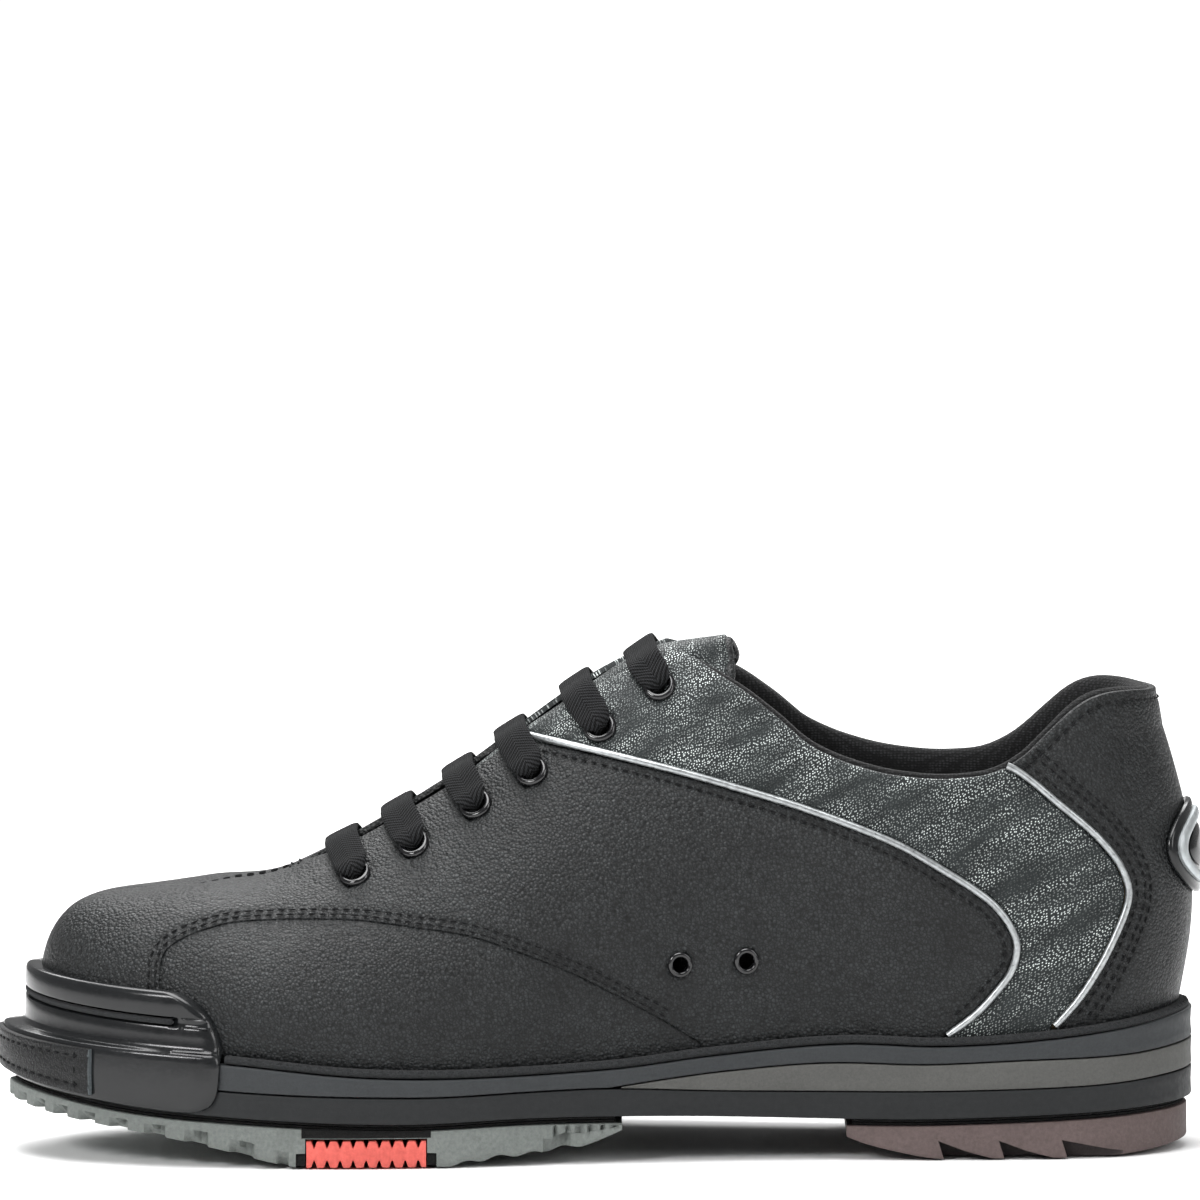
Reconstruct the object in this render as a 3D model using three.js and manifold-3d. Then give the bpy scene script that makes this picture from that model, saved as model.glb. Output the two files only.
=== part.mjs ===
// A low-cut lace-up bowling shoe for the right foot: leather and printed panels over a lining, a moulded
// toe guard, a layered midsole, and a front sole and a heel that pull off their hook-and-loop panels.
// Millimetres. The toe points to -X, the medial (arch) side faces -Y, and the ground is Z = 0.
import * as THREE from "three";
import { mergeVertices } from "three/addons/utils/BufferGeometryUtils.js";
import Module from "manifold-3d";

const wasm = await Module();
wasm.setup();

// ---------------------------------------------------------------- driving dimensions

const GAP = 0.3;

// Feather line: the closed plan outline where the upper meets the midsole, from the toe tip
// along the medial side to the back of the heel (index 10) and back along the lateral side.
const FEATHER = [
  [-139, -8], [-132, -26], [-112, -41], [-80, -49], [-42, -48], [0, -39], [44, -32], [86, -32],
  [121, -28.5], [138.5, -16.5], [144, 0], [138.5, 16.5], [121, 28.5], [86, 34], [44, 38.5],
  [0, 45.5], [-40, 50.5], [-76, 47], [-108, 33], [-131, 12],
];
// Crest of the shoe form, one point for each step from toe (0) to heel (10).
const RIDGE = [
  [-101, -7, 65], [-99, -7, 65.2], [-91, -6.5, 67], [-74, -6, 71.5], [-41, -4, 92.3], [0, -2, 121],
  [38, 0, 140], [66, 0, 160], [82, 0, 170], [90, 0, 174], [92, 0, 175],
];
// Section at each step: roundness over the crest, uprightness of the wall, outward swell of the
// wall, and the share of the height over which that swell fades out.
const SECTION = [
  [4, 4, 0.5, 0.8], [3.8, 3.8, 1, 0.8], [2.9, 2.9, 2, 0.8], [1.85, 2.2, 3, 0.8], [1.5, 1.95, 3.4, 0.8],
  [1.9, 2.1, 3, 0.8], [2.1, 2.2, 2.6, 0.7], [2.4, 2.4, 3, 0.6], [2.5, 2.5, 3.8, 0.52],
  [2.5, 2.5, 4.3, 0.5], [2.5, 2.5, 4.4, 0.5],
];
const STEPS = RIDGE.length - 1;
const ROWS = 20;
const COLUMNS = 14;

// Heights along the shoe, as [x, z] points.
const FEATHER_HEIGHT = [[-150, 28.5], [-120, 26.5], [-92, 25.2], [-60, 22.2], [-35, 21.6], [3, 23],
  [28, 25.8], [60, 28.4], [84, 27.8], [105, 28.8], [130, 31.6], [148, 34.8]];
const WEDGE_TOP = [[4, 18.6], [17, 20.4], [30, 21.9], [56, 23.8], [81, 23.4], [105, 24.3], [132, 25.2],
  [148, 27]];
const BASE_TOP = [[-150, 24], [-120, 21.5], [-92, 18.6], [-45, 17.1], [-15, 18], [3, 18.3], [30, 17.2],
  [56, 16.8], [90, 16.9], [125, 18], [148, 20]];
const BASE_BOTTOM = [[-150, 19.5], [-120, 14.6], [-92, 12.4], [-50, 10.7], [-17, 11.6], [17, 11.3],
  [55, 10.2], [80, 10], [112, 10.9], [148, 12.6]];
const SOLE_BOTTOM = [[-150, 13.8], [-137, 11], [-121, 8.8], [-106, 6.6], [-91, 3.6], [-80, 1], [-73, 0],
  [-37, 0], [-26, 1.6], [-12, 2.8], [-4, 4.2], [2, 6.4], [8, 9]];
const HEEL_BOTTOM = [[58, 7], [64, 4.2], [74, 1.6], [84, 0], [122, 0], [136, 0.8], [148, 2.4]];
const FABRIC = { gap: 0.2, thick: 0.6 };
const PAD_DROP = 1.8;

// How far things stand out from the feather line in plan.
const MIDSOLE_OUT = 3.6;
const WELT = { out: 2.4, thick: 1.8, start: -91.8 };
const PAD_OUT = { side: 2.4, tip: 8 };
const FABRIC_OUT = { side: 1.4, tip: 6.5 };
const FRONT_END = 5;
const HEEL_START = 61;
const BOARD = { front: -5.6, rear: -8.4, thick: 2 };
const FOOTBED_THICK = 4;

// Layers of the upper, as depths in from the outer surface.
const LEATHER = [0, 1.8];
const STIFFENER = [2.1, 3.3];
const FRONT_LINING = [3.5, 4.5];
const COLLAR_FOAM = [2.1, 5.6];
const REAR_LINING = [5.9, 7.4];
const LINING_SPLIT = 20;

// Seams seen from the side, as [x, z] points.
const SIDE_SEAM = [[-108, 38], [-108.4, 46], [-107.5, 51.8], [-103.5, 55.2], [-96.7, 57.8], [-86.7, 59.6],
  [-63, 60.2], [-45, 58.4], [-30, 55.8], [-10, 48.2], [3, 41.6], [17, 33.6], [33, 23]];
const PIPING_FRONT = [[-22, 104], [-7.5, 101.7], [4.5, 99.2], [20.4, 95.4], [36, 91], [50, 86.8],
  [64.7, 81.6], [74.7, 77.4], [84.7, 71.7], [92.5, 66.8], [97.5, 62.8], [101.4, 57.6], [103, 52.4],
  [101.6, 46.6], [98.6, 42.2], [93, 36], [86, 30.5], [78, 24]];
const PIPING_HEEL = [[94, 99], [101.4, 96.8], [106.9, 93.2], [112.3, 88.6], [117.7, 84.2], [123, 79.4],
  [127.5, 74], [130, 69], [130.7, 65], [129.6, 60.3], [126.4, 52.9], [123, 46.5], [117.7, 38.5],
  [110, 30], [104, 24]];
const TOPLINE = [[-4, 128.5], [6, 127.6], [15, 126.2], [22.7, 123.4], [28.5, 119.8], [36, 115],
  [43, 109.5], [53, 101.5], [67, 96.2], [81, 94.2], [92, 94.6], [98, 96], [105, 100], [111, 105.6],
  [117, 110.8], [122, 113.6], [128, 114.9], [137, 114.6], [150, 113.5]];
const PIPING_RADIUS = 0.9;
const PIPING_TOP = 102.4;

// Throat: the gap between the eyestays, as [x, half width] about the crest.
const THROAT = [[-72, 4], [-66, 7.5], [-40, 9], [0, 10.5], [30, 12.5], [70, 15]];
const EYELET_ROWS = [[-60.5, 70], [-46, 77.2], [-30.7, 86.8], [-16.8, 95], [0, 105.9], [14.7, 116]];
const VENT_SPOTS = [[19.8, 48.6], [36.2, 49.2]];
const EYELET = { flange: 4, hole: 2.3, wall: 0.5, under: 0.5, lip: 1.1, depth: 4.2, sides: 8 };
const VENT = { flange: 3.2, hole: 1.9, wall: 0.4, under: 0.4, lip: 0.9, depth: 2, sides: 8 };

const LACE = { width: 7.6, thick: 1.3, gathered: 3.2, over: 2.3, under: 7.9, inside: 4, beside: 3.2 };
const TAILS = [
  { row: 6, spots: [[13.4, 108.5], [11.8, 101.5], [10.4, 95]], tip: [[10.3, 94.5], [9, 88.5], [7.8, 83]] },
  { row: 5, spots: [[-1.4, 98.5], [-2.9, 91.5], [-4.3, 85]], tip: [[-4.4, 84.5], [-5.7, 78.5], [-6.9, 73]] },
];
const TONGUE = { start: -75, base: 10, top: 22, faceDepth: 9.4, stitchDepth: 5.4, thick: 2, padding: 4 };
const TONGUE_EDGE = [[-90, 50], [-90, 220], [-20, 220], [30.5, 134], [36, 126], [40.5, 115], [42, 103], [28, 92],
  [0, 76], [-45, 50]];

const GUARD_END = [[-175, 5], [-104, 5], [-102.5, 13], [-97, 14.8], [-94.5, 16.9], [-92.7, 20.1],
  [-92.7, 29.5], [-94, 34], [-96.7, 38.4], [-100, 41], [-105, 43.6], [-175, 75]];
const GUARD = { reach: 2.7, wall: 4, groove: 2.3 };
const STRIP = { reach: 1.6, thick: 1.3 };
const BADGE = { half: 19, tall: 11.7, height: 74.6, plate: [-1.9, -0.3], ring: [-3.1, -2.2], rim: 2.6 };

// ---------------------------------------------------------------- the shoe form

// A smooth value through [x, value] points, level beyond both ends.
function valueAt(points, x) {
  const last = points.length - 1;
  if (x <= points[0][0]) return points[0][1];
  if (x >= points[last][0]) return points[last][1];
  const i = points.findIndex((p, k) => x >= p[0] && x <= points[k + 1][0]);
  const slope = (a, b) => (points[b][1] - points[a][1]) / (points[b][0] - points[a][0]);
  const span = points[i + 1][0] - points[i][0];
  const s = (x - points[i][0]) / span;
  const [m0, m1] = [slope(Math.max(i - 1, 0), i + 1) * span, slope(i, Math.min(i + 2, last)) * span];
  return points[i][1] * (1 + 2 * s) * (1 - s) ** 2 + m0 * s * (1 - s) ** 2
    + points[i + 1][1] * s * s * (3 - 2 * s) + m1 * s * s * (s - 1);
}

const vector = (x, y, z) => new THREE.Vector3(x, y, z);
const sectionTables = SECTION[0].map((_, k) => SECTION.map((row, i) => [i, row[k]]));
const featherLoop = new THREE.CatmullRomCurve3(FEATHER.map(([x, y]) => vector(x, y, 0)), true, "catmullrom", 0.5);
const ridgeLine = new THREE.CatmullRomCurve3(RIDGE.map((p) => vector(...p)), false, "catmullrom", 0.5);
const crestTable = RIDGE.slice(0, 9).map(([x, y]) => [x, y]);
const crestY = (x) => valueAt(crestTable, x);
const featherHeight = (x) => valueAt(FEATHER_HEIGHT, x);

// A point on the plan outline: u runs from 0 at the toe along the medial side to 10 at the heel, then to 20.
function outlinePoint(u, out = 0) {
  const turn = (((u / FEATHER.length) % 1) + 1) % 1;
  const p = featherLoop.getPoint(turn);
  const along = featherLoop.getTangent(turn);
  return vector(p.x + along.y * out, p.y - along.x * out, 0);
}

// The form: t runs from toe to heel, v from the medial feather line (0) over the crest to the lateral one (1).
function formPoint(t, v) {
  const [crestPower, wallPower, swell, reach] = sectionTables.map((table) => valueAt(table, t));
  const angle = Math.min(v, 1 - v) * Math.PI;
  const foot = outlinePoint(v < 0.5 ? t : 2 * STEPS - t);
  const crest = ridgeLine.getPoint(t / STEPS);
  const away = vector(foot.x - crest.x, foot.y - crest.y, 0);
  const rise = Math.sin(angle) ** (2 / wallPower);
  const spread = Math.max(Math.cos(angle), 0) ** (2 / crestPower)
    + (Math.max(Math.sin(Math.PI * Math.min(rise / reach, 1)), 0) * swell) / away.length();
  const bottom = featherHeight(foot.x);
  return vector(crest.x + away.x * spread, crest.y + away.y * spread, bottom + (crest.z - bottom) * rise);
}

function formNormal(t, v) {
  const d = 0.02;
  const along = formPoint(Math.min(t + d, STEPS - 0.01), v).sub(formPoint(Math.max(t - d, 0.01), v));
  const across = formPoint(t, Math.min(v + d, 1)).sub(formPoint(t, Math.max(v - d, 0)));
  return along.cross(across).normalize();
}

const clamp = THREE.MathUtils.clamp;

// The place on the form where both numbers given by miss(point) are zero, found from a first guess.
function solveForm(guess, miss) {
  let [t, v] = guess;
  const d = 1e-3;
  for (let i = 0; i < 60; i += 1) {
    const [a, b] = miss(formPoint(t, v));
    const [at, bt] = miss(formPoint(t + d, v));
    const [av, bv] = miss(formPoint(t, v + d));
    const [p, q, r, s] = [(at - a) / d, (av - a) / d, (bt - b) / d, (bv - b) / d];
    const det = p * s - q * r;
    t = clamp(t + clamp((q * b - s * a) / det, -0.4, 0.4), 0.05, 9.9);
    v = clamp(v + clamp((r * a - p * b) / det, -0.04, 0.04), 0.005, 0.99);
  }
  return { t, v, point: formPoint(t, v), normal: formNormal(t, v) };
}

// The place on the medial (-1) or lateral (1) wall that is seen at (x, z) from the side.
const onSide = (x, z, side) => solveForm([clamp(5 + x / 40, 0.3, 9.7), side < 0 ? 0.25 : 0.75],
  (p) => [p.x - x, p.z - z]);
const raised = ({ point, normal }, height) => point.clone().addScaledVector(normal, height);

// ---------------------------------------------------------------- solids

function solidOf(geometry) {
  const bare = geometry.clone();
  bare.deleteAttribute("normal");
  bare.deleteAttribute("uv");
  const merged = mergeVertices(bare, 1e-4);
  return new wasm.Manifold(new wasm.Mesh({
    numProp: 3,
    vertProperties: new Float32Array(merged.attributes.position.array),
    triVerts: new Uint32Array(merged.index.array),
  }));
}

// A closed body through rings of points; each end ring is closed by a strip between its two halves.
function ringBody(rings) {
  const count = rings[0].length;
  const index = [];
  for (let i = 0; i < rings.length - 1; i += 1) {
    for (let j = 0; j < count; j += 1) {
      const [a, b] = [i * count + j, i * count + ((j + 1) % count)];
      index.push(a, b, b + count, a, b + count, a + count);
    }
  }
  const end = (rings.length - 1) * count;
  for (let j = 0, k = count - 1; j + 1 < k; j += 1, k -= 1) {
    index.push(j, k, j + 1, end + j, end + j + 1, end + k);
    if (k - 1 > j + 1) index.push(j + 1, k, k - 1, end + j + 1, end + k - 1, end + k);
  }
  const geometry = new THREE.BufferGeometry().setFromPoints(rings.flat());
  const solid = solidOf(geometry.setIndex(index));
  if (solid.volume() > 0) return solid;
  for (let i = 0; i < index.length; i += 3) [index[i + 1], index[i + 2]] = [index[i + 2], index[i + 1]];
  return solidOf(geometry.setIndex(index));
}

// Columns stand closer together near the feather line, where the wall bends most.
function columnPlace(j) {
  const v = 0.5 * (Math.min(j, COLUMNS - j) / (COLUMNS / 2)) ** 1.3;
  return j <= COLUMNS / 2 ? v : 1 - v;
}

// The whole form as a solid, its surface moved in by depth, and its underside dropped below the feather line.
function formSolid(depth, drop = 0) {
  const depthAt = typeof depth === "number" ? () => depth : depth;
  const rings = [];
  for (let i = 0; i <= ROWS; i += 1) {
    const t = clamp((STEPS * i) / ROWS, 0.03, STEPS - 0.03);
    const ring = [];
    for (let j = 0; j <= COLUMNS; j += 1) {
      const v = columnPlace(j);
      const p = formPoint(t, v).addScaledVector(formNormal(t, v), -depthAt(t));
      if (j === 0 || j === COLUMNS) p.z = featherHeight(p.x) + GAP;
      ring.push(p);
    }
    if (drop > 0) {
      ring.unshift(ring[0].clone().setZ(ring[0].z - drop));
      ring.push(ring[COLUMNS + 1].clone().setZ(ring[COLUMNS + 1].z - drop));
    }
    rings.push(ring);
  }
  return ringBody(rings);
}
const shell = ([outer, inner]) => formSolid(outer).subtract(formSolid(inner, 20));

const asPoints = (points) => points.map((p) => (p.isVector2 ? p : new THREE.Vector2(...p)));

// A line of [x, z] points moved sideways by d, to the left of the way it runs.
function beside(points, d) {
  return asPoints(points).map((p, i, all) => {
    const way = all[Math.min(i + 1, all.length - 1)].clone().sub(all[Math.max(i - 1, 0)]).normalize();
    return new THREE.Vector2(p.x - way.y * d, p.y + way.x * d);
  });
}

// An outline seen from the side, pushed through from y0 to y1.
function sidePrism(points, y0 = -90, y1 = 90) {
  const shape = new THREE.Shape(asPoints(points));
  const geometry = new THREE.ExtrudeGeometry(shape, { depth: y1 - y0, bevelEnabled: false });
  return solidOf(geometry.rotateX(Math.PI / 2).translate(0, y1, 0));
}

// An outline seen from above, pushed through from z0 to z1.
function planPrism(points, z0, z1) {
  const shape = new THREE.Shape(asPoints(points));
  return solidOf(new THREE.ExtrudeGeometry(shape, { depth: z1 - z0, bevelEnabled: false }).translate(0, 0, z0));
}

// A layer between two heights that follows the feather line in plan, from step t0 to step t1.
function layer(outAt, low, high, t0 = 0.04, t1 = STEPS - 0.04) {
  const rows = Math.round(((t1 - t0) / STEPS) * 30);
  const rings = [];
  for (let i = 0; i <= rows; i += 1) {
    const t = t0 + ((t1 - t0) * i) / rows;
    const [m, l] = [outlinePoint(t, outAt(t)), outlinePoint(2 * STEPS - t, outAt(t))];
    rings.push([m.clone().setZ(low(m.x)), l.clone().setZ(low(l.x)), l.clone().setZ(high(l.x)),
      m.clone().setZ(high(m.x))]);
  }
  return ringBody(rings);
}
const level = (points, add = 0) => (x) => Math.max(valueAt(points, x) + add, 0);
const fixedOut = (out) => () => out;
// Stands further out round the toe tip than along the sides.
const tippedOut = ({ side, tip }) => (t) => side + (tip - side) * clamp(1 - t / 2.6, 0, 1) ** 1.5;

// A section of [out, z] points carried round the toe, given at each outline step u.
function toeSweep(reach, sectionAt, stations) {
  const rings = [];
  for (let i = 0; i <= stations; i += 1) {
    const u = -reach + (2 * reach * i) / stations;
    rings.push(sectionAt(Math.abs(u)).map(([out, z]) => outlinePoint(u, out).setZ(z)));
  }
  return ringBody(rings);
}

// A flat band with a rectangular section through {point, flat, width, thick} stations.
function band(stations, fine) {
  const line = new THREE.CatmullRomCurve3(stations.map((s) => s.point), false, "centripetal");
  const total = (stations.length - 1) * fine;
  const rings = [];
  for (let i = 0; i <= total; i += 1) {
    const k = (i % fine) / fine;
    const a = stations[Math.floor(i / fine)];
    const b = stations[Math.min(Math.floor(i / fine) + 1, stations.length - 1)];
    const [point, along] = [line.getPoint(i / total), line.getTangent(i / total)];
    const flat = a.flat.clone().lerp(b.flat, k);
    flat.addScaledVector(along, -flat.dot(along)).normalize();
    const up = along.clone().cross(flat);
    const [w, h] = [(a.width + (b.width - a.width) * k) / 2, (a.thick + (b.thick - a.thick) * k) / 2];
    rings.push([[-w, -h], [w, -h], [w, h], [-w, h]]
      .map(([p, q]) => point.clone().addScaledVector(flat, p).addScaledVector(up, q)));
  }
  return ringBody(rings);
}

// A round tube through points.
function tube(points, radius) {
  const line = new THREE.CatmullRomCurve3(points);
  const side = (along) => vector(0, 1, 0).addScaledVector(along, -along.y).normalize();
  return ringBody(points.map((point, i) => {
    const along = line.getTangent(i / (points.length - 1));
    const across = side(along);
    const up = along.clone().cross(across);
    return [0, 60, 120, 180, 240, 300].map((degrees) => {
      const turn = THREE.MathUtils.degToRad(degrees);
      return point.clone().addScaledVector(across, Math.cos(turn) * radius).addScaledVector(up, Math.sin(turn) * radius);
    });
  }));
}

// ---------------------------------------------------------------- assembly

const material = (color, roughness, metalness = 0) => new THREE.MeshStandardMaterial({ color, roughness, metalness });
const FINISH = {
  leather: material(0x25282a, 0.55),
  print: material(0x39413f, 0.4, 0.3),
  piping: material(0xc8ccce, 0.3, 0.6),
  lining: material(0x1c1d1e, 0.95),
  stiffener: material(0xb9a98c, 0.8),
  foam: material(0x6f6f6f, 0.95),
  eyelet: material(0x101112, 0.2, 0.3),
  lace: material(0x1e1f20, 0.9),
  guard: material(0x17191b, 0.15),
  midsoleTop: material(0x3f4346, 0.8),
  midsoleWedge: material(0x66645f, 0.8),
  midsoleBase: material(0x33383a, 0.8),
  fabric: material(0x121212, 0.95),
  soleGrey: material(0x6d7472, 0.85),
  flexRed: material(0xe2534e, 0.7),
  heelBrown: material(0x7d6468, 0.85),
  board: material(0xa98d62, 0.85),
  silver: material(0xaab1b3, 0.3, 0.8),
};

const shoe = new THREE.Group();
function addPart(name, solid, finish) {
  const mesh = solid.getMesh();
  const geometry = new THREE.BufferGeometry()
    .setAttribute("position", new THREE.BufferAttribute(new Float32Array(mesh.vertProperties), 3))
    .setIndex(new THREE.BufferAttribute(new Uint32Array(mesh.triVerts), 1));
  const part = new THREE.Mesh(geometry, finish);
  part.name = name;
  shoe.add(part);
}

const SIDES = [[-1, "medial"], [1, "lateral"]];
const eyelets = SIDES.flatMap(([side, word]) => EYELET_ROWS.map(([x, z], i) => (
  { name: `eyelet_${word}_${i + 1}`, side, row: i + 1, form: EYELET, ...onSide(x, z, side) })));
const vents = VENT_SPOTS.map(([x, z], i) => ({ name: `vent_${i + 1}`, form: VENT, ...onSide(x, z, -1) }));

const turnedTo = (geometry, { point, normal }) => geometry
  .applyQuaternion(new THREE.Quaternion().setFromUnitVectors(vector(0, 1, 0), normal))
  .translate(point.x, point.y, point.z);
const holes = wasm.Manifold.union([...eyelets, ...vents].map((spot) => {
  const radius = spot.form.hole + spot.form.wall + GAP;
  return solidOf(turnedTo(new THREE.CylinderGeometry(radius, radius, 14, spot.form.sides), spot));
}));

const throatCut = (extra) => planPrism([
  ...THROAT.map(([x, half]) => [x, crestY(x) + half + extra]),
  ...THROAT.map(([x, half]) => [x, crestY(x) - half - extra]).reverse(),
], 40, 260);
const mouthCut = (down) => sidePrism([...TOPLINE.map(([x, z]) => [x, z - down]), [170, 260], [-5, 260]]);

// A flanged tube turned about its own axis, with the flange outside.
function addEyelet(spot) {
  const { flange, hole, wall, under, lip, depth, sides } = spot.form;
  const profile = [[hole, -depth], [hole + wall, -depth], [hole + wall, under], [flange, under],
    [flange - 0.5, lip], [hole, lip], [hole, -depth]];
  const turned = new THREE.LatheGeometry(profile.map(([r, y]) => new THREE.Vector2(r, y)), sides);
  addPart(spot.name, solidOf(turnedTo(turned, spot)), FINISH.eyelet);
}

// Piping along both printed-panel seams, and the groove the panels need for it.
function addPiping() {
  const grooves = [];
  for (const [side, word] of SIDES) {
    for (const [place, seam] of [["front", PIPING_FRONT], ["heel", PIPING_HEEL]]) {
      const path = asPoints(seam)
        .filter((p) => p.y > featherHeight(p.x) + WELT.thick + PIPING_RADIUS + 2 * GAP)
        .filter((p) => p.y < Math.min(valueAt(TOPLINE, p.x) - 0.6, PIPING_TOP))
        .map((p) => raised(onSide(p.x, p.y, side), 0.15));
      addPart(`piping_${place}_${word}`, tube(path, PIPING_RADIUS), FINISH.piping);
      grooves.push(tube(path, PIPING_RADIUS + GAP));
    }
  }
  return wasm.Manifold.union(grooves);
}

// Every outer panel is cut from one shell by its seams.
function addPanels(groove) {
  const shellOfPanels = shell(LEATHER).subtract(throatCut(0)).subtract(mouthCut(0)).subtract(holes).subtract(groove);
  const halfGap = GAP / 2;
  const rear = [[77.5, 15], ...beside(PIPING_FRONT, -halfGap).reverse(), [-40, 105], [-40, 260], [200, 260], [200, 15]];
  for (const [side, word] of SIDES) {
    const y = side * halfGap;
    const half = planPrism([[-170, -8 + y], [-100, -7 + y], [0, -2 + y], [170, y], [170, side * 90], [-170, side * 90]], -10, 260);
    const wall = shellOfPanels.intersect(half);
    const belowSeam = sidePrism([[-108.3, 15], ...beside(SIDE_SEAM, halfGap), [33.6, 15]]);
    addPart(`vamp_${word}`, wall.subtract(belowSeam).subtract(sidePrism(rear)), FINISH.leather);
    addPart(`side_panel_${word}`,
      wall.intersect(sidePrism([[-107.8, 15], ...beside(SIDE_SEAM, -halfGap), [33, 15]])), FINISH.leather);
    addPart(`collar_panel_${word}`, wall.intersect(sidePrism([...beside(PIPING_FRONT, halfGap), [78.5, 15],
      [103.5, 15], ...beside(PIPING_HEEL, -halfGap).reverse(), [90, 140], [-40, 140], [-40, 105.5]])), FINISH.print);
  }
  addPart("heel_wrap", shellOfPanels.intersect(
    sidePrism([...beside(PIPING_HEEL, halfGap), [104.5, 15], [170, 15], [170, 140], [92, 140]])), FINISH.leather);
}

function addInnerLayers() {
  const toeZone = sidePrism([[-170, 10], [-112, 10], [-104, 45], [-101, 80], [-170, 80]]);
  const counterZone = sidePrism([[92, 10], [98, 50], [112, 68], [130, 72], [170, 72], [170, 10]]);
  addPart("toe_puff", shell(STIFFENER).intersect(toeZone), FINISH.stiffener);
  addPart("heel_counter", shell(STIFFENER).intersect(counterZone), FINISH.stiffener);
  const foamZone = sidePrism([[26, 96], [58, 80], [92, 76], [112, 78], [130, 76], [170, 76], [170, 200], [26, 200]]);
  addPart("collar_foam", shell(COLLAR_FOAM).intersect(foamZone).subtract(mouthCut(0.6)).subtract(throatCut(1.5)),
    FINISH.foam);
  const rearZone = sidePrism([[LINING_SPLIT, 0], [LINING_SPLIT, 260], [200, 260], [200, 0]]);
  const inner = mouthCut(0.6).add(throatCut(1.5));
  addPart("collar_lining", shell(REAR_LINING).intersect(rearZone).subtract(inner), FINISH.lining);
  const front = LINING_SPLIT - GAP;
  const frontZone = sidePrism([[-170, 0], [-170, 260], [front, 260], [front, 0]]);
  addPart("vamp_lining", shell(FRONT_LINING).intersect(frontZone).subtract(inner).subtract(holes), FINISH.lining);
}

// The tongue lies under the eyestays, close to the vamp at its stitched foot and deeper behind.
function addTongue() {
  const depthAt = (extra) => (t) => extra
    + valueAt([[2.6, TONGUE.stitchDepth], [3.4, TONGUE.faceDepth]], t);
  const spread = [[TONGUE.start, TONGUE.base], [-40, TONGUE.base + 4], [0, TONGUE.base + 9], [24, TONGUE.top], [60, TONGUE.top]];
  const zoneFor = (shrink) => planPrism([
    ...spread.map(([x, half]) => [x + (x < -50 ? shrink : 0), crestY(x) + half - shrink]),
    ...spread.map(([x, half]) => [x + (x < -50 ? shrink : 0), crestY(x) - half + shrink]).reverse(),
  ], 40, 260).intersect(sidePrism(TONGUE_EDGE.map(([x, z]) => [x - shrink, z])));
  const slice = (near, far) => formSolid(depthAt(near)).subtract(formSolid(depthAt(far), 20));
  const under = TONGUE.thick + GAP;
  addPart("tongue_face", slice(0, TONGUE.thick).intersect(zoneFor(0)), FINISH.print);
  addPart("tongue_padding", slice(under, under + TONGUE.padding).intersect(zoneFor(1)), FINISH.lining);
}

// ---------------------------------------------------------------- lace

const eyeletAt = (side, row) => eyelets.find((e) => e.side === side && e.row === row);

// Directions at an eyelet: along the throat, and across the surface towards the crest.
function eyeletFrame(side, row) {
  const spot = eyeletAt(side, row);
  const [a, b] = [eyeletAt(side, Math.max(row - 1, 1)), eyeletAt(side, Math.min(row + 1, 6))];
  const along = b.point.clone().sub(a.point).setY(0).normalize();
  const across = along.clone().cross(spot.normal).normalize();
  if (across.y * side > 0) across.negate();
  return { ...spot, along, across };
}

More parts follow.
